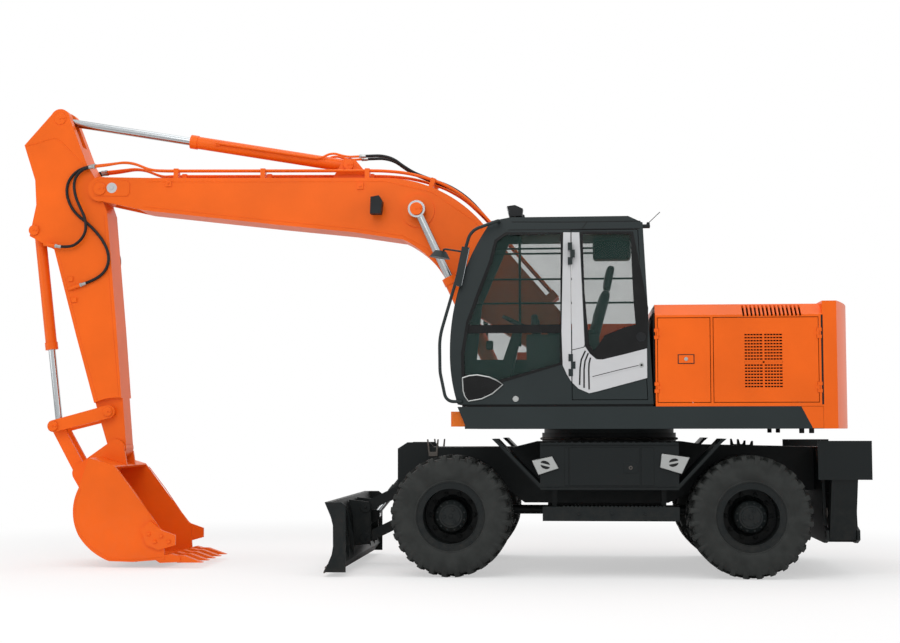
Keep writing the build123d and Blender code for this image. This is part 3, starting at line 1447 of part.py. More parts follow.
BOOM_CYL_END = shifted(BOOM_FOOT, BOOM_CYL_PIN)
BOOM_CYLS = [-BOOM_CYL_Y, BOOM_CYL_Y]
BOOM_RAM = (BOOM_CYL_BASE, BOOM_CYL_END)
barrel("boom_cylinder_barrels", *BOOM_RAM, BOOM_CYL_BARREL, BOOM_CYL_R, 38, 70, BOOM_CYLS, 48, PIN_HOLE)
with BuildPart() as boom_rods:
    for side in (-1, 1):
        y = side * BOOM_CYL_Y
        span = distance(BOOM_CYL_BASE, BOOM_CYL_END)
        tube(BOOM_CYL_BASE, BOOM_CYL_END, y, 38, 650, span - 50)
        boss(BOOM_CYL_END, 80, y - 45, y + 45)
        y_low, y_high = sorted((side * (BOOM_HALF + 14), side * (BOOM_CYL_Y + 55)))
        boss(BOOM_CYL_END, PIN_R, y_low, y_high)
save(boom_rods, "boom_cylinder_rods")

ARM_CYL_AT = shifted(BOOM_FOOT, ARM_CYL_BASE)
ARM_CYL_END = shifted(ARM_PIN, ARM_CYL_PIN)


ARM_RAM = (ARM_CYL_AT, ARM_CYL_END)
CYL_HOSE_Y = 80
# the two pipes along the arm cylinder, from its gland to the hoses, counted from its base pin
ARM_RAM_PIPE = [(-1290, 236), (-281, 66), (-165, 124), (-20, 79.4), (100, 83)]
barrel(
    "arm_cylinder_barrel",
    *ARM_RAM,
    ARM_CYL_BARREL,
    ARM_CYL_R,
    38,
    75,
    [0],
    50,
    PIN_HOLE,
    [[(x, side * CYL_HOSE_Y, z) for x, z in (shifted(ARM_CYL_AT, p) for p in ARM_RAM_PIPE)] for side in (-1, 1)],
)
rod("arm_cylinder_rod", *ARM_RAM, 1140, 38, 75, [0], 48)

# Free hoses: (X, Z) from the front axle, with the distance from the middle of the machine
HOSES = [
    (
        "hoses_arm_long",
        [
            (-3498, 3796, 180),
            (-3588, 3788, 180),
            (-3698, 3742, 180),
            (-3780, 3638, 181),
            (-3785, 3500, 180),
            (-3710, 3345, 180),
            (-3560, 3230, 181),
            (-3424, 3084, 180),
            (-3352, 2920, 180),
            (-3385, 2780, 181),
            (-3500, 2690, 180),
            (-3641, 2644, 180),
        ],
    ),
    (
        "hoses_arm_short",
        [
            (-3498, 3781, 212),
            (-3588, 3773, 212),
            (-3665, 3722, 212),
            (-3708, 3630, 213),
            (-3690, 3500, 212),
            (-3640, 3390, 212),
            (-3585, 3280, 213),
            (-3577, 3160, 212),
            (-3635, 3062, 212),
            (-3740, 3000, 212),
            (-3881, 3022, 212),
        ],
    ),
    (
        "hoses_cylinder",
        [
            (-965, 3863, 80),
            (-865, 3866, 80),
            (-745, 3868, 80),
            (-635, 3835, 78),
            (-545, 3765, 74),
            (-430, 3692, 70),
            (-237, 3619, 70),
            (-74, 3555, 70),
            (95, 3432, 70),
            (230, 3275, 70),
            (450, 3030, 71),
            (690, 2742.8, 70),
            (899, 2503, 70),
        ],
    ),
]
for name, points in HOSES:
    with BuildPart() as hoses:
        for side in (-1, 1):
            bent_tube([(FRONT_AXLE_X + x, side * y, z) for x, z, y in points], HOSE_R)
    save(hoses, name)
    print(name, [round(r) for r in bend_radii([(x, y, z) for x, z, y in points])])

# Arm: tapered box with a forked upper end, a lug for the bucket cylinder and a narrow tip

ARM_SIDE = [
    (-325, 700),
    (-148, 252),
    (-60, 105),
    (59, -225),
    (167, -1343),
    (262, -2440),
    (78, -2430),
    (-12, -2142),
    (-227, -1398),
    (-455, -572),
    (-700, -440),
    (-640, -138),
    (-655, 101),
    (-767, 444),
    (-480, 765),
]
BUCKET_CYL_AT = shifted(ARM_PIN, BUCKET_CYL_BASE)
ROCKER_AT = shifted(ARM_PIN, ROCKER_PIN)
ROD_EYE_AT = shifted(ARM_PIN, ROD_EYE)
LINK_AT = shifted(ARM_PIN, LINK_PIN)
TIP_HALF = 115
TIP_REACH = 480
EAR_IN = TIP_HALF + 7
EAR_OUT = EAR_IN + 30
ROCKER_IN = ARM_HALF + 7
ROCKER_OUT = ROCKER_IN + 24
SLOT = 64
FITTING_LENGTH = 110
with BuildPart() as arm:
    outline([shifted(ARM_PIN, p) for p in ARM_SIDE], -ARM_HALF, ARM_HALF)
    boss(ARM_PIN, 125, -ARM_HALF, ARM_HALF)
    boss(ARM_CYL_END, 95, -ARM_HALF, ARM_HALF)
    boss(BUCKET_AT, 92, -TIP_HALF, TIP_HALF)
    boss(ARM_CYL_END, 330, -SLOT, SLOT, mode=Mode.SUBTRACT)
    boss(BUCKET_CYL_AT, 190, -SLOT, SLOT, mode=Mode.SUBTRACT)
    boss(ARM_PIN, PIN_HOLE, -ARM_HALF, ARM_HALF, mode=Mode.SUBTRACT)
    boss(BUCKET_AT, PIN_HOLE, -TIP_HALF, TIP_HALF, mode=Mode.SUBTRACT)
    for side in (-1, 1):
        y_low, y_high = sorted((side * TIP_HALF, side * (ARM_HALF + 1)))
        boss(BUCKET_AT, TIP_REACH, y_low, y_high, mode=Mode.SUBTRACT)
    # fittings that carry on from the arm hoses, each on a small bracket
    for name, points in HOSES[:2]:
        (a_x, a_z, y), (b_x, b_z, y) = points[-2:]
        a, b = (FRONT_AXLE_X + a_x, a_z), (FRONT_AXLE_X + b_x, b_z)
        span = distance(a, b)
        share = (span + FITTING_LENGTH / 2) / span
        bracket = (a[0] + (b[0] - a[0]) * share, a[1] + (b[1] - a[1]) * share)
        for side in (-1, 1):
            tube(a, b, side * y, HOSE_R + 3, span, span + FITTING_LENGTH)
            y_low, y_high = sorted((side * (ARM_HALF - 1), side * (y + 4)))
            boss(bracket, 22, y_low, y_high)
    boss(BUCKET_CYL_AT, PIN_R, -ARM_HALF - 10, ARM_HALF + 10)
    boss(ROCKER_AT, 58, -ARM_HALF, ARM_HALF)
    boss(ROCKER_AT, 34, -ROCKER_OUT - 8, ROCKER_OUT + 8)
save(arm, "arm")

BUCKET_RAM = (BUCKET_CYL_AT, ROD_EYE_AT)
barrel("bucket_cylinder_barrel", *BUCKET_RAM, BUCKET_CYL_BARREL, BUCKET_CYL_R, 34, 72, [0], 50, PIN_HOLE)
rod("bucket_cylinder_rod", *BUCKET_RAM, 700, 34, 60, [0], 48)

# Bucket linkage: rockers outside the arm, a forked link inside the bucket's ears

with BuildPart() as rockers:
    for side in (-1, 1):
        y_low, y_high = sorted((side * ROCKER_IN, side * ROCKER_OUT))
        strap(ROCKER_AT, 62, ROD_EYE_AT, 56, y_low, y_high)
        y_low, y_high = sorted((side * 98, side * (ROCKER_OUT + 8)))
        boss(ROD_EYE_AT, 40, y_low, y_high)
        y_low, y_high = sorted((side * ROCKER_IN, side * ROCKER_OUT))
        boss(ROCKER_AT, 34 + FIT, y_low, y_high, mode=Mode.SUBTRACT)
save(rockers, "rockers")
with BuildPart() as link:
    for side in (-1, 1):
        y_low, y_high = sorted((side * 60, side * 92))
        strap(LINK_AT, 60, ROD_EYE_AT, 56, y_low, y_high)
    boss(LINK_AT, 60, -TIP_HALF, TIP_HALF)
    boss(LINK_AT, 34 + FIT, -TIP_HALF, TIP_HALF, mode=Mode.SUBTRACT)
save(link, "bucket_link")

# Bucket: curved shell between two side plates, ears, lip and teeth

BUCKET_HALF = 520
BUCKET_SIDE = [
    (-139, -85),
    (-232, -362),
    (-283, -590, "arc"),
    (-225, -801),
    (-105, -935, "arc"),
    (64, -1031),
    (288, -1037),
    (586, -1013),
    (568, -767),
    (103, -157),
]
BUCKET_ROOM = [
    (-95, -160),
    (-206, -370),
    (-258, -592, "arc"),
    (-203, -788),
    (-92, -912, "arc"),
    (72, -1008),
    (290, -1015),
    (640, -990),
    (900, -760),
    (200, -90),
    (90, -185),
]
TEETH = 5
CUTTER = 22
CUTTER_SIDE = [(362, -742), (420, -880), (530, -925), (690, -880), (690, -790), (560, -745), (452, -662)]
ADAPTER_SIDE = [(470, -1000), (640, -962), (730, -985), (730, -1035), (540, -1045)]
TOOTH_SIDE = [(640, -975), (760, -978), (937, -1040), (700, -1042)]
with BuildPart() as bucket:
    curved(moved(BUCKET_AT, BUCKET_SIDE), -BUCKET_HALF, BUCKET_HALF)
    curved(
        moved(BUCKET_AT, BUCKET_ROOM),
        -BUCKET_HALF + 20,
        BUCKET_HALF - 20,
        mode=Mode.SUBTRACT,
    )
    for side in (-1, 1):
        y_low, y_high = sorted((side * EAR_IN, side * EAR_OUT))
        outline(
            [
                shifted(BUCKET_AT, p)
                for p in (
                    (-390, -175),
                    (-30, 78),
                    (88, -30),
                    (110, -160),
                    (-100, -150),
                    (-225, -420),
                    (-262, -520),
                    (-415, -265),
                )
            ],
            y_low,
            y_high,
        )
        boss(LINK_AT, 68, y_low, y_high)
        boss(BUCKET_AT, 85, y_low, y_high)
    boss(LINK_AT, 34, -EAR_OUT, EAR_OUT)
    boss(BUCKET_AT, PIN_R, -EAR_OUT, EAR_OUT)
    # side cutters, and teeth on the lip
    for side in (-1, 1):
        y_low, y_high = sorted((side * (BUCKET_HALF - 2), side * (BUCKET_HALF + CUTTER)))
        outline(moved(BUCKET_AT, CUTTER_SIDE), y_low, y_high)
    for n in range(TEETH):
        y = (n - (TEETH - 1) / 2) * 2 * (BUCKET_HALF - 50) / (TEETH - 1)
        outline(moved(BUCKET_AT, ADAPTER_SIDE), y - 46, y + 46)
        outline(moved(BUCKET_AT, TOOTH_SIDE), y - 36, y + 36)
save(bucket, "bucket")
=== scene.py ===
import math

import bpy
import bmesh
from mathutils import Matrix, Vector


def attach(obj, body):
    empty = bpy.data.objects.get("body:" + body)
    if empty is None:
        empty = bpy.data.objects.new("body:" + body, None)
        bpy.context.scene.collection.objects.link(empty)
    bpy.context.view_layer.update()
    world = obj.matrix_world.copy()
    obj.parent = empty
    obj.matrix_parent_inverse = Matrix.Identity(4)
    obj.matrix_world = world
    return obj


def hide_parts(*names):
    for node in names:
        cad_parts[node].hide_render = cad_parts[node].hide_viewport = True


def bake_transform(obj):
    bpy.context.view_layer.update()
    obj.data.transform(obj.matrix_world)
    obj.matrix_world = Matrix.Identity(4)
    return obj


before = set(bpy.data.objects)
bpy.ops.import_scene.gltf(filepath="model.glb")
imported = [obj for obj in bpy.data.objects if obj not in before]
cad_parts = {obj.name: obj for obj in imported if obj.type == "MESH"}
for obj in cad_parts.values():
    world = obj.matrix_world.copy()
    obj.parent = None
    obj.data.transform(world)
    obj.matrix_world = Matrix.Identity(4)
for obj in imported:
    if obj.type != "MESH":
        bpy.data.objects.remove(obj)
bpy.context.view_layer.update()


# The camera stands level with the wheels at the machine's left, a long way off, and looks
# square on with a slight turn to the front.
view = bpy.data.cameras.new("camera")
view.sensor_width = 36
view.lens = 61.44
camera = bpy.data.objects.new("camera", view)
bpy.context.scene.collection.objects.link(camera)
camera.location = (1.430, -14.451, 1.261)
camera.rotation_euler = (math.radians(90 + 4.04), math.radians(0.06), math.radians(4.81))
bpy.context.scene.camera = camera
bpy.context.scene.view_settings.view_transform = "Standard"


# The floor is one pale sheet that runs on to the horizon. It takes the machine's shadow near
# by and fades to plain white far off, so that no edge shows.
def fill(tree, node, inputs):
    """Gives a node's inputs their values, or the sockets that they are linked to."""
    for name, value in inputs.items():
        if isinstance(value, bpy.types.NodeSocket):
            tree.links.new(value, node.inputs[name])
        else:
            node.inputs[name].default_value = value


def add_node(tree, kind, x, y, inputs=None, **settings):
    """A shader node at its place on the sheet, with its settings, its values and its links."""
    node = tree.nodes.new(f"ShaderNode{kind}")
    node.location = (x, y)
    for name, value in settings.items():
        setattr(node, name, value)
    fill(tree, node, inputs or {})
    return node


def linear(code):
    """A hex colour as a shader takes it."""
    values = [int(code[n : n + 2], 16) / 255 for n in (1, 3, 5)]
    return [c / 12.92 if c <= 0.04045 else ((c + 0.055) / 1.055) ** 2.4 for c in values] + [1]


def blank_material(name):
    """A new material with its sheet and its main shader."""
    made = bpy.data.materials.new(name)
    made.use_nodes = True
    tree = made.node_tree
    return made, tree, tree.nodes["Principled BSDF"]


FLOOR_HALF = 60
FADE_START = 4.0
FADE_END = 8.0
floor_mesh = bmesh.new()
bmesh.ops.create_grid(floor_mesh, x_segments=1, y_segments=1, size=FLOOR_HALF)
floor_data = bpy.data.meshes.new("floor")
floor_mesh.to_mesh(floor_data)
floor_mesh.free()
floor = bpy.data.objects.new("floor", floor_data)
bpy.context.scene.collection.objects.link(floor)
floor_paint, tree, shader = blank_material("pale_floor")
fill(tree, shader, {"Base Color": linear("#FAFAFA"), "Roughness": 0.8, "Specular IOR Level": 0.1})
spot = add_node(tree, "TexCoord", -1000, -200)
away = add_node(tree, "VectorMath", -800, -200, {0: spot.outputs["Object"]}, operation="LENGTH")
fade = add_node(
    tree,
    "MapRange",
    -600,
    -200,
    {"Value": away.outputs["Value"], "From Min": FADE_START, "From Max": FADE_END, "To Min": 0.5},
    interpolation_type="SMOOTHSTEP",
)
rays = add_node(tree, "LightPath", -800, 200)
lit = add_node(
    tree,
    "Math",
    -400,
    0,
    {0: rays.outputs["Is Camera Ray"], 1: fade.outputs["Result"]},
    operation="MULTIPLY",
)
bright = add_node(tree, "Emission", -200, -200, {"Strength": 1})
mixed = add_node(
    tree, "MixShader", 0, 100, {"Fac": lit.outputs[0], 1: shader.outputs[0], 2: bright.outputs[0]}
)
fill(tree, tree.nodes["Material Output"], {"Surface": mixed.outputs[0]})
floor_data.materials.append(floor_paint)

# The world is white to the camera, to reflections and through glass, and a soft grey to all
# that it lights. Four wide lamps stand over and beside the machine.
world = bpy.data.worlds.new("studio")
world.use_nodes = True
bpy.context.scene.world = world
tree = world.node_tree
background = tree.nodes["Background"]
fill(tree, background, {"Strength": 0.60, "Color": (1, 1, 1, 1)})
white = add_node(tree, "Background", -200, -200, {"Strength": 1, "Color": (1, 1, 1, 1)})
rays = add_node(tree, "LightPath", -600, 300).outputs
seen = add_node(
    tree,
    "Math",
    -400,
    300,
    {0: rays["Is Camera Ray"], 1: rays["Is Transmission Ray"]},
    operation="MAXIMUM",
)
through = add_node(
    tree, "Math", -200, 300, {0: seen.outputs[0], 1: rays["Is Glossy Ray"]}, operation="MAXIMUM"
)
mixed = add_node(
    tree,
    "MixShader",
    100,
    100,
    {"Fac": through.outputs[0], 1: background.outputs[0], 2: white.outputs[0]},
)
fill(tree, tree.nodes["World Output"], {"Surface": mixed.outputs[0]})

LAMPS_AIM = Vector((0.3, 0, 1.2))
for name, place, size, power in (
    ("lamp_over_the_side", (-1.0, -9.0, 8.5), 7.0, 370),
    ("lamp_over_the_top", (0.5, 1.0, 11.0), 9.0, 320),
    ("lamp_from_the_front", (-9.5, -4.0, 4.0), 5.0, 120),
    ("lamp_from_the_rear", (9.0, -5.0, 5.0), 5.0, 90),
):
    lamp = bpy.data.lights.new(name, "AREA")
    lamp.size = size
    lamp.energy = power
    lamp_object = bpy.data.objects.new(name, lamp)
    lamp_object.location = place
    aim = LAMPS_AIM - Vector(place)
    lamp_object.rotation_euler = aim.to_track_quat("-Z", "Y").to_euler()
    bpy.context.scene.collection.objects.link(lamp_object)


# Hydraulic hoses, black rubber over wire braid. Two pairs cross from the boom's tip to the arm
# and one pair follows the boom's back from the arm cylinder to the block at the foot.
def set_ramp(ramp, *stops):
    """Gives a colour ramp its stops, each a position and a colour."""
    for element, (position, colour) in zip(ramp.color_ramp.elements, stops):
        element.position = position
        element.color = colour


def grained(name, code, rough, grain_scale, grain_depth, bloom=1.7, spread=6, sheen=0.0):
    """Rubber, moulded plastic or cloth: a fine grain with a dusty bloom over it."""
    made, tree, shader = blank_material(name)
    place = add_node(tree, "TexCoord", -1000, 0).outputs["Object"]
    grain = add_node(
        tree, "TexNoise", -700, 0, {"Vector": place, "Scale": grain_scale, "Detail": 3}
    )
    patches = add_node(
        tree, "TexNoise", -700, 300, {"Vector": place, "Scale": spread, "Detail": 6}
    ).outputs["Fac"]
    tint = add_node(tree, "ValToRGB", -400, 300, {"Fac": patches})
    dusty = [c * bloom + 0.004 for c in linear(code)[:3]] + [1]
    set_ramp(tint, (0.35, linear(code)), (0.75, dusty))
    gloss = add_node(
        tree,
        "MapRange",
        -400,
        0,
        {"Value": patches, "To Min": rough - 0.08, "To Max": rough + 0.12},
    )
    bump = add_node(
        tree,
        "Bump",
        -300,
        -250,
        {"Height": grain.outputs["Fac"], "Strength": 0.3, "Distance": grain_depth},
    )
    fill(
        tree,
        shader,
        {
            "Base Color": tint.outputs["Color"],
            "Roughness": gloss.outputs["Result"],
            "Normal": bump.outputs["Normal"],
            "Sheen Weight": sheen,
            "Specular IOR Level": 0.2,
        },
    )
    return made


def tube_mesh(made, stops, radius, sides=12):
    """A round tube through a list of points, with closed ends."""
    normal = None
    before = None
    for n, stop in enumerate(stops):
        way = (stops[min(n + 1, len(stops) - 1)] - stops[max(n - 1, 0)]).normalized()
        if normal is None:
            normal = way.orthogonal().normalized()
        normal = (normal - way * normal.dot(way)).normalized()
        across = way.cross(normal)
        loop = []
        for k in range(sides):
            turn = 2 * math.pi * k / sides
            out = normal * math.cos(turn) + across * math.sin(turn)
            loop.append(made.verts.new(stop + radius * out))
        if before:
            for k in range(sides):
                made.faces.new((before[k], before[(k + 1) % sides], loop[(k + 1) % sides], loop[k]))
        else:
            made.faces.new(loop[::-1])
        before = loop
    made.faces.new(before)


def finish_piece(name, made, material, body=None, smooth=35):
    """A mesh object at the origin, shaded smooth up to an angle, riding on a body."""
    bmesh.ops.recalc_face_normals(made, faces=made.faces)
    data = bpy.data.meshes.new(name)
    made.to_mesh(data)
    made.free()
    data.materials.append(material)
    data.shade_smooth()
    data.set_sharp_from_angle(angle=math.radians(smooth))
    piece = bpy.data.objects.new(name, data)
    bpy.context.scene.collection.objects.link(piece)
    if body:
        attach(piece, body)
    return piece


# black rubber, dull, with a grain that only a close look shows
hose_rubber = grained("hose_rubber", "#141517", 0.42, 260, 0.0006)
FRONT_AXLE = 0.321
SIDES = (("left", -1), ("right", 1))
HOSE_DIAMETER = 0.028
HOSES = [
    # name, node, the two bodies it joins, where the bend starts and ends (X, Z), its real
    # length, and its route (X from the front axle, Z, distance from the middle)
    (
        "hose_arm_long",
        "hoses_arm_long",
        ("boom", "arm"),
        ((-3.250, 3.760), (-3.300, 2.760)),
        1.63,
        [
            (-3.498, 3.796, 0.180), (-3.588, 3.788, 0.180), (-3.698, 3.742, 0.180),
            (-3.780, 3.638, 0.181), (-3.785, 3.500, 0.180), (-3.710, 3.345, 0.180),
            (-3.560, 3.230, 0.181), (-3.424, 3.084, 0.180), (-3.352, 2.920, 0.180),
            (-3.385, 2.780, 0.181), (-3.500, 2.690, 0.180), (-3.641, 2.644, 0.180),
        ],
    ),
    (
        "hose_arm_short",
        "hoses_arm_short",
        ("boom", "arm"),
        ((-3.250, 3.745), (-3.400, 3.060)),
        1.135,
        [
            (-3.498, 3.781, 0.212), (-3.588, 3.773, 0.212), (-3.665, 3.722, 0.212),
            (-3.708, 3.630, 0.213), (-3.690, 3.500, 0.212), (-3.640, 3.390, 0.212),
            (-3.585, 3.280, 0.213), (-3.577, 3.160, 0.212), (-3.635, 3.062, 0.212),
            (-3.740, 3.000, 0.212), (-3.881, 3.022, 0.212),
        ],
    ),
    (
        "hose_cylinder",
        "hoses_cylinder",
        ("arm_cylinder_barrel", "boom"),
        ((-0.600, 3.866), (-0.250, 3.780)),
        2.40,
        [
            (-0.965, 3.863, 0.080), (-0.865, 3.866, 0.080), (-0.745, 3.868, 0.080),
            (-0.635, 3.835, 0.078), (-0.545, 3.765, 0.074), (-0.430, 3.692, 0.070),
            (-0.237, 3.619, 0.070), (-0.074, 3.555, 0.070), (0.095, 3.432, 0.070),
            (0.230, 3.275, 0.070), (0.450, 3.030, 0.071), (0.690, 2.7428, 0.070),
            (0.899, 2.503, 0.070),
        ],
    ),
]
for name, node, (body_a, body_b), (bend_start, bend_end), length, route in HOSES:
    for end, side in SIDES:
        curve = bpy.data.curves.new("route", "CURVE")
        curve.dimensions = "3D"
        curve.resolution_u = 8
        spline = curve.splines.new("NURBS")
        spline.points.add(len(route) - 1)
        for point, (x, z, y) in zip(spline.points, route):
            point.co = (FRONT_AXLE + x, side * y, z, 1)
        spline.order_u = 3
        spline.use_endpoint_u = True
        line = bpy.data.objects.new("route", curve)
        bpy.context.scene.collection.objects.link(line)
        bpy.context.view_layer.update()
        drawn = bpy.data.meshes.new_from_object(line)
        stops = [v.co.copy() for v in drawn.vertices]
        bpy.data.objects.remove(line)
        bpy.data.meshes.remove(drawn)
        made = bmesh.new()
        tube_mesh(made, stops, HOSE_DIAMETER / 2)
        hose = finish_piece(f"{name}_{end}", made, hose_rubber, smooth=60)
        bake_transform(hose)
        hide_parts(node)
        x, z, y = route[0]


# Paint on steel: an even coat with a slight orange-peel surface, faint changes of tone, and
# dust that gathers low down and on what faces up.
def painted(name, code, rough, dust, metal=0.0):
    """A sprayed coat over steel; metal above 0 is bare or plated steel with the same dust."""
    made, tree, shader = blank_material(name)
    place = add_node(tree, "TexCoord", -1500, 0).outputs["Object"]
    tone = add_node(tree, "TexNoise", -1200, 400, {"Vector": place, "Scale": 1.6, "Detail": 5})
    shade = add_node(tree, "ValToRGB", -900, 400, {"Fac": tone.outputs["Fac"]})
    darker = [c * 0.90 for c in linear(code)[:3]] + [1]
    lighter = [min(1, c * 1.06) for c in linear(code)[:3]] + [1]
    set_ramp(shade, (0.3, darker), (0.7, lighter))
    height = add_node(tree, "SeparateXYZ", -1200, 0, {"Vector": place})
    near_floor = add_node(
        tree,
        "MapRange",
        -900,
        100,
        {"Value": height.outputs["Z"], "From Min": 0.9, "From Max": 0.0},
        clamp=True,
    )
    facing = add_node(tree, "NewGeometry", -1200, -250)
    up = add_node(tree, "SeparateXYZ", -900, -250, {"Vector": facing.outputs["Normal"]})
    on_top = add_node(
        tree,
        "MapRange",
        -700,
        -250,
        {"Value": up.outputs["Z"], "From Min": 0.5, "From Max": 1.0, "To Max": 0.5},
        clamp=True,
    )
    where = add_node(
        tree,
        "Math",
        -500,
        0,
        {0: near_floor.outputs["Result"], 1: on_top.outputs["Result"]},
        operation="MAXIMUM",
    )
    speckle = add_node(
        tree, "TexNoise", -900, -500, {"Vector": place, "Scale": 14, "Detail": 8, "Roughness": 0.7}
    )
    patchy = add_node(
        tree,
        "MapRange",
        -500,
        -500,
        {"Value": speckle.outputs["Fac"], "From Min": 0.42, "From Max": 0.72, "To Max": dust},
        clamp=True,
    )
    amount = add_node(
        tree,
        "Math",
        -300,
        -100,
        {0: where.outputs[0], 1: patchy.outputs["Result"]},
        operation="MULTIPLY",
    ).outputs[0]
    dusted = add_node(
        tree,
        "Mix",
        -100,
        300,
        {"Factor": amount, "A": shade.outputs["Color"], "B": linear("#9C8F7E")},
        data_type="RGBA",
    )
    gloss = add_node(
        tree, "MapRange", -100, 0, {"Value": amount, "To Min": rough, "To Max": min(1, rough + 0.5)}
    )
    peel = add_node(tree, "TexNoise", -500, -800, {"Vector": place, "Scale": 130})
    bump = add_node(
        tree,
        "Bump",
        -200,
        -800,
        {"Height": peel.outputs["Fac"], "Strength": 0.12, "Distance": 0.0004},
    )
    fill(
        tree,
        shader,
        {
            "Base Color": dusted.outputs["Result"],
            "Roughness": gloss.outputs["Result"],
            "Normal": bump.outputs["Normal"],
            "Metallic": metal,
            "Specular IOR Level": 0.18,
        },
    )
    return made


# bright orange enamel, the cab's dark grey, the undercarriage's near black, and pale silver
orange = painted("orange_paint", "#EC6415", 0.36, dust=0.05)
dark_grey = painted("dark_grey_paint", "#262D2E", 0.42, dust=0.06)
black = painted("black_paint", "#131819", 0.46, dust=0.06)
silver = painted("silver_grey_paint", "#C3C4C6", 0.38, dust=0.03)
# steel rubbed bare and brown, and bright plated fittings
worn_steel = painted("worn_steel", "#5A5652", 0.42, dust=0.1, metal=0.7)
zinc = painted("zinc_plate", "#A9ABAA", 0.35, dust=0.1, metal=0.9)


# The cylinders' rods: hard chrome, ground along the rod, with a thin film of oil.
rod_chrome, tree, shader = blank_material("rod_chrome")
place = add_node(tree, "TexCoord", -900, 0)
stretch = add_node(
    tree, "Mapping", -700, 0, {"Vector": place.outputs["Object"], "Scale": (3, 90, 3)}
)
streaks = add_node(
    tree, "TexNoise", -500, 0, {"Vector": stretch.outputs["Vector"], "Scale": 6, "Detail": 4}
)
gloss = add_node(
    tree, "MapRange", -250, 0, {"Value": streaks.outputs["Fac"], "To Min": 0.10, "To Max": 0.26}
)
fill(
    tree,
    shader,
    {"Base Color": linear("#B4B8BA"), "Metallic": 1, "Roughness": gloss.outputs["Result"]},
)


# Panes and lenses: thin, clear enough to see the seat through, with a faint film of dust. A
# lens is moulded with fine upright ribs.
def pane_material(name, code, alpha, rough, ribs=0):
    """Glass or clear plastic: how much it hides, how rough it is, and the scale of its ribs."""
    made, tree, shader = blank_material(name)
    place = add_node(tree, "TexCoord", -900, 0).outputs["Object"]
    film = add_node(
        tree, "TexNoise", -700, 0, {"Vector": place, "Scale": 5, "Detail": 7}
    ).outputs["Fac"]
    clear = add_node(
        tree,
        "MapRange",
        -450,
        -100,
        {"Value": film, "To Min": alpha - 0.05, "To Max": alpha + 0.05},
    )
    gloss = add_node(
        tree, "MapRange", -450, 150, {"Value": film, "To Min": rough, "To Max": rough + 0.05}
    )
    fill(
        tree,
        shader,
        {
            "Base Color": linear(code),
            "Alpha": clear.outputs["Result"],
            "Roughness": gloss.outputs["Result"],
            "Specular IOR Level": 0.35,
        },
    )
    if ribs:
        wave = add_node(
            tree, "TexWave", -450, -400, {"Vector": place, "Scale": ribs}, bands_direction="X"
        )
        bump = add_node(
            tree, "Bump", -200, -400, {"Height": wave.outputs["Fac"], "Distance": 0.002}
        )
        fill(tree, shader, {"Normal": bump.outputs["Normal"]})
    return made


tinted_glass = pane_material("tinted_glass", "#2A4640", 0.22, 0.02)
amber_lens = pane_material("amber_lens", "#E8700C", 0.95, 0.12, ribs=40)
clear_lens = pane_material("clear_lens", "#DDE2E4", 0.9, 0.10, ribs=60)
# moulded trim, door seals, the seat's woven cover and the engine's rough castings
black_plastic = grained("black_plastic", "#17191B", 0.5, 400, 0.0004, bloom=1.5)
seal_rubber = grained("seal_rubber", "#0E0F10", 0.55, 300, 0.0003, bloom=1.4)
seat_fabric = grained("seat_fabric", "#1D1F22", 0.85, 900, 0.0010, bloom=1.5, spread=14, sheen=0.4)
engine_metal = grained("engine_metal", "#3B3C3D", 0.6, 60, 0.0020, bloom=1.6)

FINISHES = [
    # material, the solids that take it
    (
        orange,
        "boom arm bucket hood engine_hood_lid service_door_front_left service_door_rear_left "
        "service_door_right tank_and_tool_box counterweight rockers bucket_link boom_pipes "
        "boom_cylinder_barrels arm_cylinder_barrel bucket_cylinder_barrel",
    ),
    (dark_grey, "upper_frame cab_shell cab_roof cab_door rails_and_mirrors"),
    (
        black,
        "main_frame front_axle rear_axle side_boxes blade knuckle_left knuckle_right rim_front_left "
        "rim_front_right rim_rear_left rim_rear_right blade_link_lower blade_link_upper "
        "blade_cylinder_barrel stabiliser_left stabiliser_right stabiliser_barrel_left "
        "stabiliser_barrel_right",
    ),
    (
        rod_chrome,
        "boom_cylinder_rods arm_cylinder_rod bucket_cylinder_rod blade_cylinder_rod "
        "stabiliser_rod_left stabiliser_rod_right",
    ),
    (tinted_glass, "cab_glass cab_door_glass"),
    (engine_metal, "engine"),
    (seat_fabric, "seat"),
    (black_plastic, "consoles work_lamps boom_lamp"),
    (amber_lens, "front_lamps"),
]
for material, names in FINISHES:
    for name in names.split():
        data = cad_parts[name].data
        data.materials.clear()
        data.materials.append(material)


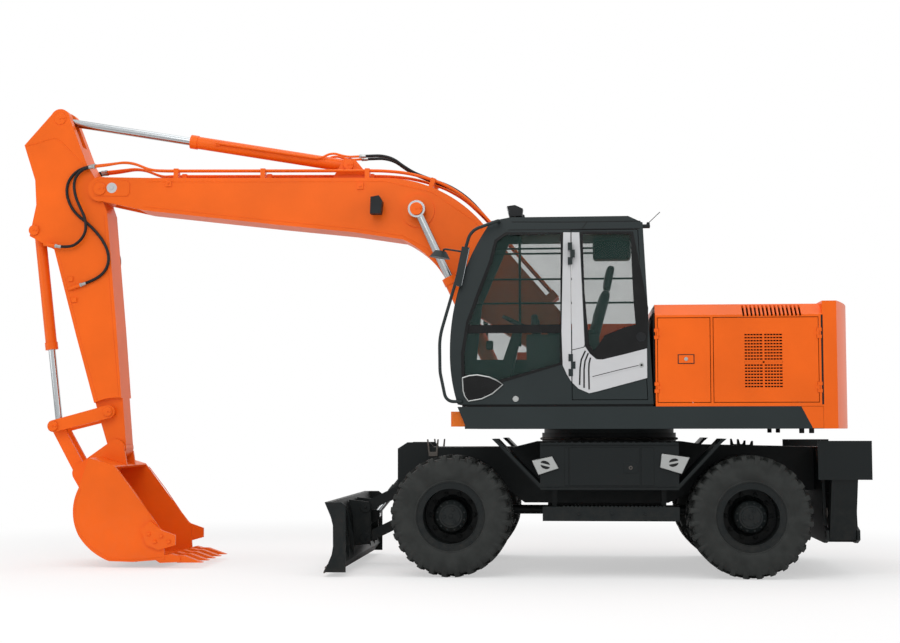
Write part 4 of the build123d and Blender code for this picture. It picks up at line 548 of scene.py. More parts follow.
# Twin tyres: rounded sidewalls with a bead ring, and long shoulder lugs that sweep back from
# the edge of the tread to its middle, those of one side between those of the other.
tyre_rubber = grained("tyre_rubber", "#232524", 0.62, 120, 0.0012, bloom=1.6, spread=9)
REAR_AXLE = 2.871
AXLE_Z = 0.522
TYRE_MIDDLES = (0.808, 1.126)
TYRE_HALF = [
    # distance from the tyre's middle, radius
    (0.1071, 0.2560),
    (0.1071, 0.2910),
    (0.1180, 0.2935),
    (0.1240, 0.3020),
    (0.1245, 0.3120),
    (0.1290, 0.3180),
    (0.1350, 0.3450),
    (0.1385, 0.3750),
    (0.1390, 0.4020),
    (0.1370, 0.4300),
    (0.1320, 0.4560),
    (0.1250, 0.4770),
    (0.1130, 0.4890),
    (0.0900, 0.4945),
    (0.0450, 0.4970),
    (0.0000, 0.4980),
]
LUG_LINE = [
    # distance from the tyre's middle, turn about the axle, half width, top, foot
    (0.1365, 0.000, 0.0170, 0.4400, 0.4250),
    (0.1290, 0.000, 0.0190, 0.4800, 0.4640),
    (0.1180, 0.000, 0.0200, 0.5100, 0.4830),
    (0.1050, 0.003, 0.0205, 0.5200, 0.4890),
    (0.0750, 0.014, 0.0200, 0.5215, 0.4940),
    (0.0450, 0.034, 0.0180, 0.5218, 0.4960),
    (0.0120, 0.066, 0.0150, 0.5218, 0.4970),
]
TURNS = 96
LUGS = 28


def add_tyre(made, x, side, middle):
    """One tyre: its section spun about the axle, and one lug a shoulder repeated round it."""
    axle = (x, 0, AXLE_Z)
    section = TYRE_HALF + [(-t, r) for t, r in reversed(TYRE_HALF[:-1])]
    verts = [made.verts.new((x, side * (middle + t), AXLE_Z - r)) for t, r in section]
    edges = [made.edges.new(pair) for pair in zip(verts, verts[1:])]
    about = {"cent": axle, "axis": (0, 1, 0)}
    bmesh.ops.spin(
        made, geom=verts + edges, angle=2 * math.pi, steps=TURNS, use_merge=True, **about
    )
    for shoulder in (-1, 1):
        lug = []
        loops = []
        for t, turn, half, top, foot in LUG_LINE:
            loop = []
            for edge, r in ((-1.25, foot), (-1, top), (1, top), (1.25, foot)):
                angle = turn + edge * half / 0.5 + (math.pi / LUGS if shoulder > 0 else 0)
                y = side * (middle + shoulder * t)
                spot = (x + r * math.sin(angle), y, AXLE_Z - r * math.cos(angle))
                loop.append(made.verts.new(spot))
            lug += loop
            loops.append(made.faces.new(loop))
        for near, far in zip(loops, loops[1:]):
            rims = [e for f in (near, far) for e in f.edges]
            bmesh.ops.bridge_loops(made, edges=rims)
        bmesh.ops.delete(made, geom=loops[1:-1], context="FACES_ONLY")
        faces = {f for v in lug for f in v.link_faces}
        edges = {e for f in faces for e in f.edges}
        bmesh.ops.spin(
            made,
            geom=lug + list(edges) + list(faces),
            angle=2 * math.pi * (LUGS - 1) / LUGS,
            steps=LUGS - 1,
            use_duplicate=True,
            **about,
        )


WHEELS = [
    # name, axle, side
    ("front_left", FRONT_AXLE, -1),
    ("front_right", FRONT_AXLE, 1),
    ("rear_left", REAR_AXLE, -1),
    ("rear_right", REAR_AXLE, 1),
]
for name, x, side in WHEELS:
    made = bmesh.new()
    for middle in TYRE_MIDDLES:
        add_tyre(made, x, side, middle)
    tyres = finish_piece(f"tyre_pair_{name}", made, tyre_rubber, f"wheel_{name}", smooth=32)
    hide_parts(f"tyres_{name}")


# Wheels: pressed steel discs, each held by a ring of nuts, with a planetary hub's bolted cover
# and its plugs, welded edges to the rim, and a tyre valve.
def bevel_edges(made, edges, offset, segments=1):
    """Rounds edges, or chamfers them with one segment."""
    bmesh.ops.bevel(
        made,
        geom=list(edges),
        offset=offset,
        offset_type="OFFSET",
        segments=segments,
        profile=0.5,
        affect="EDGES",
        clamp_overlap=True,
        material=-1,
    )


def round_boss(made, centre, way, r, long, sides=24, edge=0.0):
    """A disc or pin from a centre along a way; edge is its chamfer at the far end."""
    turned = Vector((0, 0, 1)).rotation_difference(Vector(way).normalized()).to_matrix().to_4x4()
    place = Matrix.Translation(centre) @ turned @ Matrix.Translation((0, 0, long / 2))
    grown = bmesh.ops.create_cone(
        made, cap_ends=True, segments=sides, radius1=r, radius2=r, depth=long, matrix=place
    )
    if edge:
        far = Vector(centre) + Vector(way).normalized() * long
        rim = {v for v in grown["verts"] if (v.co - far).dot(Vector(way)) > -0.0001}
        bevel_edges(made, {e for v in rim for e in v.link_edges if e.other_vert(v) in rim}, edge)


def bolt(made, centre, way, r):
    """A hexagon head on its washer, from a centre along a way."""
    round_boss(made, centre, way, r * 1.25, r * 0.25, sides=16)
    round_boss(made, centre, way, r, r * 0.95, sides=6, edge=r * 0.15)


def bead(made, points, r, sides=6):
    """A thin round bead along straight runs: welds, seals and wires."""
    tube_mesh(made, [Vector(point) for point in points], r, sides)


def around(count, r, start=0.0):
    """Places round a circle as pairs of offsets, from a starting angle."""
    turns = [start + 2 * math.pi * n / count for n in range(count)]
    return [(r * math.sin(turn), r * math.cos(turn)) for turn in turns]


for name, x, side in WHEELS:
    out = (0, side, 0)
    made = bmesh.new()
    for u, v in around(10, 0.190, math.pi / 10):
        at = (x + u, side * 0.9795, AXLE_Z + v)
        bolt(made, at, out, 0.020)
        round_boss(made, at, out, 0.010, 0.036, sides=10, edge=0.003)
    for u, v in around(12, 0.117, math.pi / 12):
        bolt(made, (x + u, side * 1.187, AXLE_Z + v), out, 0.0085)
    round_boss(made, (x, side * 1.2045, AXLE_Z), out, 0.084, 0.008, sides=40, edge=0.003)
    for u, v in around(3, 0.058, 0.4):
        bolt(made, (x + u, side * 1.2120, AXLE_Z + v), out, 0.012)
    round_boss(made, (x, side * 1.2120, AXLE_Z), out, 0.020, 0.008, sides=20, edge=0.003)
    finish_piece(f"wheel_nuts_{name}", made, black, f"wheel_{name}")
    made = bmesh.new()
    for r, y in ((0.2905, 1.2440), (0.2400, 1.2450)):
        ring = around(72, r)
        bead(made, [(x + u, side * y, AXLE_Z + v) for u, v in ring + ring[:1]], 0.0045, 8)
    bead(made, [(x + 0.236, side * 1.10, AXLE_Z), (x + 0.228, side * 1.21, AXLE_Z)], 0.005)
    finish_piece(f"rim_edges_{name}", made, black, f"wheel_{name}")


# The undercarriage's side boxes, folded steel: a lid panel with a lock between two seams, rails
# with tread pips along both edges, tilted bare steps with two slots, and a serrated step bar.
def soften(made, faces, bevel, segments):
    """Rounds or chamfers every edge of a closed piece."""
    bmesh.ops.recalc_face_normals(made, faces=faces)
    if bevel:
        bevel_edges(made, {edge for face in faces for edge in face.edges}, bevel, segments)


def slab(made, points, y_a, y_b, bevel=0.0):
    """An outline in X and Z, from one distance to another across, with chamfered edges."""
    y_low, y_high = sorted((y_a, y_b))
    face = made.faces.new([made.verts.new((x, y_low, z)) for x, z in points])
    grown = bmesh.ops.extrude_face_region(made, geom=[face])["geom"]
    far = [part for part in grown if isinstance(part, bmesh.types.BMVert)]
    bmesh.ops.translate(made, vec=(0, y_high - y_low, 0), verts=far)
    soften(made, list({f for v in far for f in v.link_faces} | {face}), bevel, 1)


def panel(made, low, high, y_a, y_b, bevel=0.0):
    """A slab with square corners, from a low to a high corner in X and Z."""
    (x0, z0), (x1, z1) = low, high
    slab(made, [(x0, z0), (x1, z0), (x1, z1), (x0, z1)], y_a, y_b, bevel)


def box(made, low, high, bevel=0.0, segments=1):
    """A block between two corners, with rounded or chamfered edges."""
    middle = (Vector(low) + Vector(high)) / 2
    size = Vector(high) - Vector(low)
    place = Matrix.Translation(middle) @ Matrix.Diagonal((*size, 1))
    grown = bmesh.ops.create_cube(made, size=1, matrix=place)["verts"]
    soften(made, list({face for v in grown for face in v.link_faces}), bevel, segments)


BOX_PANELS = [
    # two corners (X, Z), depth inside the box's face, height outside it, chamfer
    ((1.345, 0.785), (1.940, 1.110), 0.002, 0.006, 0.002),
    ((1.952, 0.785), (2.060, 1.110), 0.002, 0.004, 0.002),
    ((1.300, 0.785), (1.333, 1.110), 0.002, 0.004, 0.002),
    ((1.091, 1.132), (2.271, 1.152), 0.010, 0.014, 0.003),
    ((1.091, 0.748), (2.271, 0.768), 0.010, 0.014, 0.003),
]
STEPS = [
    # outline (X, Z)
    [(1.020, 0.997), (1.194, 1.037), (1.249, 0.932), (1.076, 0.875)],
    [(2.127, 1.058), (2.362, 1.025), (2.293, 0.885), (2.109, 0.940)],
]
BARE_BRACKET = [
    (0.030, 1.176), (0.044, 1.176), (0.058, 1.060), (0.112, 1.060),
    (0.126, 1.176), (0.140, 1.176), (0.128, 1.020), (0.046, 1.020),
]
BOX_FACE = 1.215
LOCK = (1.862, 0.938)
for end, side in SIDES:
    out = (0, side, 0)
    face = side * BOX_FACE
    made = bmesh.new()
    for low, high, inside, outside, bevel in BOX_PANELS:
        panel(made, low, high, face - side * inside, face + side * outside, bevel)
    for n in range(17):
        x = 1.150 + n * 0.066
        for z in (1.152, 0.768):
            y_low, y_high = sorted((face - side * 0.008, face + side * 0.012))
            box(made, (x, y_low, z), (x + 0.028, y_high, z + 0.006), 0.002)
    panel(made, (1.800, 0.985), (1.925, 0.892), face + side * 0.004, face + side * 0.010, 0.003)
    for n in range(26):
        x = 1.280 + n * 0.034
        tooth = [(x, 0.604), (x + 0.009, 0.616), (x + 0.017, 0.616), (x + 0.026, 0.604)]
        slab(made, tooth, side * 1.236, side * 1.222)
    for x in (1.420, 1.700, 1.980):
        bolt(made, (x, side * 1.2345, 0.545), out, 0.011)
    finish_piece(f"side_box_panels_{end}", made, black, "chassis")

    made = bmesh.new()
    for points in STEPS:
        slab(made, points, side * 1.210, side * 1.238, 0.004)
    finish_piece(f"step_plates_{end}", made, zinc, "chassis")
    made = bmesh.new()
    for x, z, lean in ((1.135, 0.962, 0.28), (2.225, 0.982, -0.22)):
        for offset in (-0.016, 0.016):
            shape = []
            for k in range(9):
                turn = math.pi * k / 8
                u = 0.040 * math.cos(turn)
                v = math.copysign(0.004 + 0.026 * math.sin(turn), offset)
                shape.append((x + u + lean * v * 0.3, z + v + offset * 0.3 - lean * u * 0.9))
            slab(made, shape, side * 1.230, side * 1.2395)
    bolt(made, (LOCK[0], side * 1.2245, LOCK[1]), out, 0.009)
    finish_piece(f"step_slots_{end}", made, seal_rubber, "chassis")
    # the lock's ring, and the bare bracket above the front wheel
    made = bmesh.new()
    round_boss(made, (LOCK[0], side * 1.2245, LOCK[1]), out, 0.017, 0.006, sides=20, edge=0.002)
    slab(made, BARE_BRACKET, side * 0.350, side * 0.338, 0.002)
    finish_piece(f"bare_brackets_{end}", made, worn_steel, "chassis")


# Slewing ring: a forged flange bolted on under the revolving frame, with its seal.
SLEW_X = 1.701
made = bmesh.new()
ring = around(96, 0.628)
bead(made, [(SLEW_X + u, v, 1.180) for u, v in ring + ring[:1]], 0.012, 8)
for u, v in around(36, 1, math.pi / 36):
    out = Vector((u, v, 0))
    bolt(made, Vector((SLEW_X, 0, 1.135)) + out * 0.617, out, 0.011)
finish_piece("slewing_ring_bolts", made, worn_steel, "chassis")

# Frame fittings of welded plate that the side view shows: the peg bracket over the rear wheel,
# the axles' bolts, and the caps of the stabilisers' pins.
PEG_BRACKET = [
    (2.850, 1.105), (2.850, 1.176), (2.866, 1.176), (2.880, 1.126),
    (2.965, 1.126), (2.978, 1.160), (2.994, 1.160), (2.994, 1.105),
]
made = bmesh.new()
for side in (-1, 1):
    slab(made, PEG_BRACKET, side * 0.330, side * 0.300, 0.002)
    for x, y, z in ((REAR_AXLE, 0.30, 0.880), (FRONT_AXLE, 0.26, 0.660)):
        bolt(made, (x, side * y, z), (0, side, 0), 0.014)
finish_piece("frame_brackets", made, black, "chassis")
LEG_X = 3.671
for end, side in SIDES:
    made = bmesh.new()
    for way in (-1, 1):
        for y, z in ((0.930, 0.365), (0.890, 0.545)):
            cap = (LEG_X + way * 0.1185, side * y, z)
            round_boss(made, cap, (way, 0, 0), 0.046, 0.010, sides=28, edge=0.003)
    finish_piece(f"stabiliser_caps_{end}", made, worn_steel, "chassis")


# Dozer blade: a curved board welded between end plates that follow its hollow, with a worn
# cutting edge held by bolts, and behind it ribs and the brackets for links and cylinder.
def moved(origin, points):
    """Points in X and Z, moved by an origin."""
    return [(origin[0] + x, origin[1] + z) for x, z in points]


BLADE = (-0.724, 0)
LINK_X = -0.549
BLADE_HALF = 1.236
BOARD = [
    (-0.045, 0.640), (-0.006, 0.560), (0.018, 0.480), (0.033, 0.400),
    (0.038, 0.335), (0.034, 0.260), (0.020, 0.190), (-0.010, 0.110),
    (-0.045, 0.040), (0.060, 0.040), (0.120, 0.120), (0.072, 0.220),
    (0.062, 0.350), (0.056, 0.480), (0.030, 0.560), (0.005, 0.640),
]
END_PLATE = [
    (-0.045, 0.640), (0.010, 0.512), (0.028, 0.440), (0.030, 0.260), (0.018, 0.190),
    (-0.045, 0.040), (0.140, 0.040), (0.140, 0.610), (0.100, 0.640),
]
LINK_BRACKET = [
    (BLADE[0] + 0.020, 0.620),
    (BLADE[0] + 0.020, 0.190),
    (LINK_X + 0.040, 0.212),
    (LINK_X + 0.055, 0.262),
    (LINK_X + 0.050, 0.552),
    (LINK_X + 0.030, 0.602),
]
CYLINDER_BRACKET = [
    (BLADE[0] + 0.030, 0.560),
    (BLADE[0] + 0.040, 0.300),
    (LINK_X + 0.105, 0.430),
    (LINK_X + 0.105, 0.510),
]
RIB = [(0.045, 0.580), (0.050, 0.130), (0.115, 0.130), (0.110, 0.300)]
CUTTING_EDGE = [
    (-0.0465, 0.0400), (-0.0180, 0.1010), (-0.0240, 0.1040),
    (-0.0540, 0.0440), (-0.0540, 0.0300), (-0.0465, 0.0300),
]
made = bmesh.new()
slab(made, moved(BLADE, BOARD), -BLADE_HALF, BLADE_HALF, 0.0015)
for side in (-1, 1):
    out = (0, side, 0)
    slab(made, moved(BLADE, END_PLATE), side * 1.234, side * 1.250, 0.002)
    slab(made, LINK_BRACKET, side * 0.243, side * 0.265, 0.003)
    for z in (0.262, 0.552):
        slab(made, moved((LINK_X, z), around(24, 0.026)), side * 0.190, side * 0.248)
        round_boss(made, (LINK_X, side * 0.264, z), out, 0.052, 0.012, sides=28, edge=0.003)
        bolt(made, (LINK_X, side * 0.276, z), out, 0.013)
    slab(made, CYLINDER_BRACKET, side * 0.062, side * 0.084, 0.003)
    for y in (0.55, 0.85):
        slab(made, moved(BLADE, RIB), side * y, side * (y + 0.014), 0.002)
blade = finish_piece("blade_welded", made, black, "blade")
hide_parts("blade")
made = bmesh.new()
slab(made, moved(BLADE, CUTTING_EDGE), -BLADE_HALF, BLADE_HALF, 0.0015)
for n in range(14):
    bolt(made, (BLADE[0] - 0.040, -1.17 + n * 0.18, 0.073), (-0.9, 0, 0.45), 0.012)
finish_piece("blade_edge", made, worn_steel, "blade")


# Pins of the working gear: a steel cover disc with its keeper bolt and grease nipple on each
# side, and one bare disc beside the boom's tip.
PINS = [
    # name, body, place (X, Z), half width, radius
    ("arm_pin", "boom", (-3.129, 3.566), 0.2165, 0.062),
    ("boom_cylinder_pin", "boom_cylinder_rods", (-0.069, 3.315), 0.3545, 0.060),
    ("arm_cylinder_base_pin", "boom", (-0.744, 3.780), 0.1045, 0.050),
    ("arm_cylinder_pin", "arm", (-3.546, 4.263), 0.1595, 0.058),
    ("bucket_cylinder_pin", "arm", (-3.784, 3.181), 0.1695, 0.050),
    ("rocker_pin", "arm", (-3.023, 1.438), 0.1985, 0.044),
    ("rod_eye_pin", "rockers", (-3.555, 1.302), 0.1985, 0.048),
]
for name, body, (x, z), half, r in PINS:
    made = bmesh.new()
    for side in (-1, 1):
        out = (0, side, 0)
        round_boss(made, (x, side * (half - 0.002), z), out, r, 0.012, sides=36, edge=0.004)
        bolt(made, (x + r * 0.62, side * (half + 0.009), z + r * 0.1), out, 0.010)
        round_boss(made, (x, side * (half + 0.009), z), out, 0.007, 0.010, sides=10, edge=0.003)
    finish_piece(f"{name}_caps", made, orange, body)
made = bmesh.new()
for side in (-1, 1):
    out = (0, side, 0)
    round_boss(made, (-3.012, side * 0.2040, 3.574), out, 0.052, 0.010, sides=36, edge=0.003)
    round_boss(made, (-3.012, side * 0.2140, 3.574), out, 0.018, 0.006, sides=6)
finish_piece("boom_tip_discs", made, silver, "boom")

# Boom and arm, welded steel boxes: thickening plates, square weld-on bosses, and the welds
# along the edges of each flank.
BOOM_FOOT = (1.621, 1.750)
ARM_PIN = (-3.129, 3.566)
BOOM_FLANK = 0.205
ARM_FLANK = 0.160
CHEEK = [
    (-3.190, 3.500), (-3.180, 3.632), (-3.100, 3.668), (-2.860, 3.640),
    (-2.838, 3.610), (-2.838, 3.520), (-2.862, 3.492), (-3.060, 3.496),
]
BOOM_SEAMS = [
    [
        (-4.30, 1.880), (-3.20, 1.862), (-2.00, 1.850), (-1.56, 1.742),
        (-1.16, 1.462), (-0.62, 0.840), (-0.10, 0.236),
    ],
    [
        (-4.32, 1.640), (-3.03, 1.486), (-2.31, 1.407), (-1.84, 1.332),
        (-1.60, 1.205), (-1.37, 0.870), (-1.24, 0.700), (-0.30, 0.080),
    ],
]
ARM_HEAD = [(-0.745, 0.436), (-0.640, 0.462), (-0.470, 0.510), (-0.400, 0.470), (-0.150, 0.215)]
ARM_BOSS = [(-0.024, -0.026), (0.028, -0.022), (0.026, 0.026), (-0.026, 0.022)]
ARM_SEAMS = [
    [(-0.405, -0.640), (-0.195, -1.400), (-0.010, -2.020)],
    [(0.028, -0.250), (0.132, -1.340), (0.196, -1.980)],
]


def weld(made, origin, points, y, r=0.0035):
    """A bead along a seam drawn from an origin in X and Z, at one distance across."""
    bead(made, [(x, y, z) for x, z in moved(origin, points)], r)


made = bmesh.new()
for side in (-1, 1):
    flank = side * BOOM_FLANK
    inside = flank - side * 0.002
    slab(made, CHEEK, inside, flank + side * 0.008, 0.003)
    for x, z in ((-0.614, 3.560), (-2.459, 3.612)):
        low, high = (x - 0.030, z - 0.034), (x + 0.030, z + 0.026)
        panel(made, low, high, inside, flank + side * 0.012, 0.003)
        bolt(made, (x, flank + side * 0.012, z - 0.004), (0, side, 0), 0.009)
    for seam in BOOM_SEAMS:
        weld(made, BOOM_FOOT, seam, flank)
finish_piece("boom_plates", made, orange, "boom")
made = bmesh.new()
for side in (-1, 1):
    flank = side * ARM_FLANK
    weld(made, ARM_PIN, ARM_HEAD, flank, 0.0040)
    for x, z in moved(ARM_PIN, ((-0.290, -0.860), (-0.250, -1.060))):
        slab(made, moved((x, z), ARM_BOSS), flank - side * 0.002, flank + side * 0.014, 0.003)
    for seam in ARM_SEAMS:
        weld(made, ARM_PIN, seam, flank)
finish_piece("arm_plates", made, orange, "arm")

# Bucket, welded from wear-resistant plate: beads round the side plates, bolts in the cutters,
# and wear strips under the curved back.
BUCKET_PIN = (-2.956, 1.092)
SIDE_WELD = [(0.135, -0.190), (0.300, -0.400), (0.470, -0.640), (0.545, -0.735)]
RIM_WELD = [
    (-0.215, -0.372), (-0.262, -0.500), (-0.264, -0.640), (-0.208, -0.790),
    (-0.098, -0.908), (0.066, -1.006), (0.290, -1.014), (0.560, -0.992),
]
WEAR_LINE = [(-0.225, -0.801), (-0.150, -0.893), (-0.060, -0.964), (0.064, -1.031), (0.288, -1.037)]
made = bmesh.new()
for side in (-1, 1):
    weld(made, BUCKET_PIN, SIDE_WELD, side * 0.520, 0.0040)
    weld(made, BUCKET_PIN, RIM_WELD, side * 0.520)
    cutter_bolts = ((0.440, -0.780), (0.500, -0.850), (0.560, -0.800), (0.630, -0.850))
    for x, z in moved(BUCKET_PIN, cutter_bolts):
        bolt(made, (x, side * 0.5415, z), (0, side, 0), 0.016)
finish_piece("bucket_welds", made, orange, "bucket")
made = bmesh.new()
low = moved(BUCKET_PIN, WEAR_LINE)
for y in (-0.36, -0.12, 0.12, 0.36):
    for (x0, z0), (x1, z1) in zip(low, low[1:]):
        way = Vector((x1 - x0, 0, z1 - z0)).normalized()
        out = Vector((way.z, 0, -way.x)) * 0.0105
        points = [(x0, z0), (x1, z1), (x1 - abs(out.x), z1 + out.z), (x0 - abs(out.x), z0 + out.z)]
        slab(made, points, y - 0.030, y + 0.030)
finish_piece("bucket_wear_strips", made, worn_steel, "bucket")


# Cab. What lies on its left side follows the panel that leans in above the waist: faces are
# drawn from the front axle in X and Z, then laid on the panel with a thickness.
CAB_SIDE = -1.225
WAIST = 1.950


def skin(z):
    """Y of the cab's left panel at a height."""
    return CAB_SIDE + max(0.0, z - WAIST) * 0.070 / 1.210


def side_sheet(made, faces, rise, thick):
    """Flat faces laid on the cab's side, a rise outside it, as one closed sheet."""
    sheet = bmesh.new()
    for points in faces:
        sheet.faces.new([sheet.verts.new((FRONT_AXLE + x, 0, z)) for x, z in points])
    bmesh.ops.remove_doubles(sheet, verts=sheet.verts, dist=0.0002)
    bmesh.ops.bisect_plane(
        sheet,
        geom=sheet.verts[:] + sheet.edges[:] + sheet.faces[:],
        plane_co=(0, 0, WAIST),
        plane_no=(0, 0, 1),
        dist=0.00001,
    )
    grown = bmesh.ops.extrude_face_region(sheet, geom=sheet.faces[:])
    for part in grown["geom"]:
        if isinstance(part, bmesh.types.BMVert):
            part.co.y -= thick
    for vert in sheet.verts:
        vert.co.y += skin(vert.co.z) - rise
    bmesh.ops.recalc_face_normals(sheet, faces=sheet.faces)
    data = bpy.data.meshes.new("sheet")
    sheet.to_mesh(data)
    sheet.free()
    made.from_mesh(data)
    bpy.data.meshes.remove(data)


def strips(points, half, closed=False):
    """Faces of a band along a line, half a width to each side."""
    count = len(points)
    sides = []
    for n, (x, z) in enumerate(points):
        before = points[n - 1] if closed or n else points[n]
        after = points[(n + 1) % count] if closed or n < count - 1 else points[n]
        way = Vector((after[0] - before[0], after[1] - before[1])).normalized()
        sides.append(((x - way.y * half, z + way.x * half), (x + way.y * half, z - way.x * half)))
    pairs = list(zip(sides, sides[1:])) + ([(sides[-1], sides[0])] if closed else [])
    return [(a[0], b[0], b[1], a[1]) for a, b in pairs]


# glass printed black on its inner face, and silvered glass
black_glass = grained("black_glass", "#0A0B0C", 0.10, 50, 0.0, bloom=1.2)
mirror_glass, tree, shader = blank_material("mirror_glass")
fill(tree, shader, {"Base Color": linear("#C9CED2"), "Metallic": 1, "Roughness": 0.03})

# Black borders of the glued panes: round the door's, with the broad corner that holds its lock,
# and round the front one. Below that, a low lens-shaped window has a bright edge and a button.
DOOR_BORDER_OUTER = [
    (1.128, 2.977), (1.581, 2.972), (1.640, 2.650), (1.704, 2.304), (1.692, 1.962),
    (1.500, 1.907), (1.310, 1.854), (1.201, 1.906), (1.163, 1.971), (1.146, 2.450),
]
DOOR_BORDER_INNER = [
    (1.146, 2.957), (1.560, 2.950), (1.568, 2.640), (1.578, 2.380), (1.594, 2.162),
    (1.498, 2.137), (1.331, 2.073), (1.238, 1.934), (1.196, 1.990), (1.160, 2.450),
]
FRONT_PANE = [
    (0.480, 2.965), (0.971, 2.965), (0.958, 1.830), (0.457, 1.687), (0.180, 1.530), (0.112, 1.630),
    (0.107, 1.927), (0.151, 2.191), (0.247, 2.456), (0.351, 2.725), (0.395, 2.905),
]
LOW_PANE = [
    (0.104, 1.709), (0.165, 1.728), (0.234, 1.734), (0.337, 1.715), (0.400, 1.688), (0.454, 1.650),
    (0.363, 1.572), (0.270, 1.528), (0.156, 1.508), (0.124, 1.552), (0.110, 1.599),
]
OUT_LEFT = (0, -1, 0)
made = bmesh.new()
border = list(zip(DOOR_BORDER_OUTER, DOOR_BORDER_INNER))
ring = [(a[0], b[0], b[1], a[1]) for a, b in zip(border, border[1:] + border[:1])]
side_sheet(made, ring, 0.0004, 0.004)
finish_piece("door_pane_border", made, black_glass, "cab_door")
made = bmesh.new()
lock = (FRONT_AXLE + 1.640, skin(2.055), 2.055)
for rise, r, long, sides in ((0.004, 0.042, 0.005, 32), (0.009, 0.022, 0.004, 24)):
    at = (lock[0], lock[1] - rise, lock[2])
    round_boss(made, at, OUT_LEFT, r, long, sides=sides, edge=0.002)
finish_piece("door_lock_ring", made, black_plastic, "cab_door")
made = bmesh.new()
side_sheet(made, strips(FRONT_PANE, 0.014, closed=True), 0.0004, 0.004)
side_sheet(made, strips([(0.118, 2.132), (0.962, 2.132)], 0.036), -0.016, 0.004)
finish_piece("front_pane_seal", made, black_glass, "upper")
made = bmesh.new()
side_sheet(made, [LOW_PANE], 0.0046, 0.003)
finish_piece("low_pane", made, black_glass, "upper")
made = bmesh.new()
bead(made, [(FRONT_AXLE + x, skin(z) - 0.0075, z) for x, z in LOW_PANE + LOW_PANE[:1]], 0.006, 8)
button = (FRONT_AXLE + 0.563, -1.2245, 1.527)
round_boss(made, button, OUT_LEFT, 0.026, 0.006, sides=28, edge=0.003)
finish_piece("low_pane_edge", made, zinc, "upper")

# Silver panel, painted sheet: one part up the cab's post, the other over the door's foot with
# three slots, a pressed handle line with painted shadow along its upper edge, and the lock.
POST_PANEL = [
    (0.980, 2.971), (1.042, 2.970), (1.042, 1.672), (1.004, 1.735), (0.969, 1.812), (0.960, 2.105)
]
DOOR_POST_PANEL = [(1.051, 2.970), (1.118, 2.969), (1.157, 1.990), (1.148, 1.972), (1.051, 1.949)]
DOOR_FOOT_PANELS = [
    [
        (1.051, 1.942), (1.150, 1.966), (1.160, 1.975), (1.202, 1.912), (1.257, 1.864),
        (1.257, 1.588), (1.194, 1.574), (1.103, 1.613), (1.051, 1.664),
    ],
    [
        (1.257, 1.864), (1.310, 1.862), (1.500, 1.907),
        (1.688, 1.955), (1.688, 1.703), (1.257, 1.588),
    ],
]
DOOR_SLOTS = [
    [(1.163, 1.938), (1.128, 1.862), (1.117, 1.790), (1.112, 1.645)],
    [(1.188, 1.918), (1.160, 1.850), (1.151, 1.780), (1.150, 1.620)],
    [(1.207, 1.879), (1.194, 1.830), (1.191, 1.770), (1.193, 1.606)],
]
PANEL_THICK = 0.009
made = bmesh.new()
side_sheet(made, [POST_PANEL], 0.0, PANEL_THICK)
finish_piece("post_panel", made, silver, "upper")
made = bmesh.new()
side_sheet(made, [DOOR_POST_PANEL], 0.0, PANEL_THICK)
side_sheet(made, DOOR_FOOT_PANELS, 0.0, PANEL_THICK)
handle_line = [(1.230, 1.706), (1.430, 1.756), (1.612, 1.799)]
side_sheet(made, strips(handle_line, 0.0045), PANEL_THICK, 0.003)
finish_piece("door_panel", made, silver, "cab_door")
made = bmesh.new()
for line in DOOR_SLOTS:
    side_sheet(made, strips(line, 0.0065), 0.0094, 0.001)
# painted shadow: a dark strip just above the pressed handle line
shadow_line = [(1.222, 1.716), (1.430, 1.768), (1.616, 1.811)]
side_sheet(made, strips(shadow_line, 0.0025), 0.0094, 0.001)
round_boss(made, (FRONT_AXLE + 1.641, -1.2385, 1.813), OUT_LEFT, 0.010, 0.003, sides=20)
finish_piece("door_panel_slots_and_painted_shadow", made, seal_rubber, "cab_door")
made = bmesh.new()
lock = (FRONT_AXLE + 1.641, -1.2335, 1.813)
round_boss(made, lock, OUT_LEFT, 0.021, 0.0045, sides=28, edge=0.002)
finish_piece("door_lock", made, zinc, "cab_door")

# Steel guard bars inside the right side's windows, the roof's moulded lining, a dark sheet of
# painted shade in the gap behind the cab, and a dark rubber strip in the gap under the cab.
made = bmesh.new()
for x, z in ((0.345, 2.915), (0.330, 2.869), (0.225, 2.634), (0.165, 2.414)):
    bead(made, [(FRONT_AXLE + x, -0.462, z), (FRONT_AXLE + 1.640, -0.462, z)], 0.009, 8)
x = FRONT_AXLE + 0.575
bead(made, [(x, -0.480, 2.020), (x, -0.480, 2.985)], 0.012, 8)
finish_piece("window_guards", made, black, "upper")
x = FRONT_AXLE + 1.58
made = bmesh.new()
box(made, (FRONT_AXLE + 0.60, -1.090, 2.968), (x, -0.455, 2.992), 0.006)
box(made, (FRONT_AXLE + 1.24, -0.640, 2.790), (x, -0.455, 2.968), 0.030, 3)
finish_piece("roof_lining", made, black_plastic, "upper")
made = bmesh.new()
# painted shade: a dark sheet that fills the gap between the cab's rear and the house
box(made, (2.0635, -1.185, 1.483), (2.0785, -0.420, 2.268), 0.003)
box(made, (FRONT_AXLE + 0.100, -1.208, 1.4605), (FRONT_AXLE + 1.740, -1.196, 1.4815), 0.002)
finish_piece("gap_strips_and_painted_shade", made, seal_rubber, "upper")

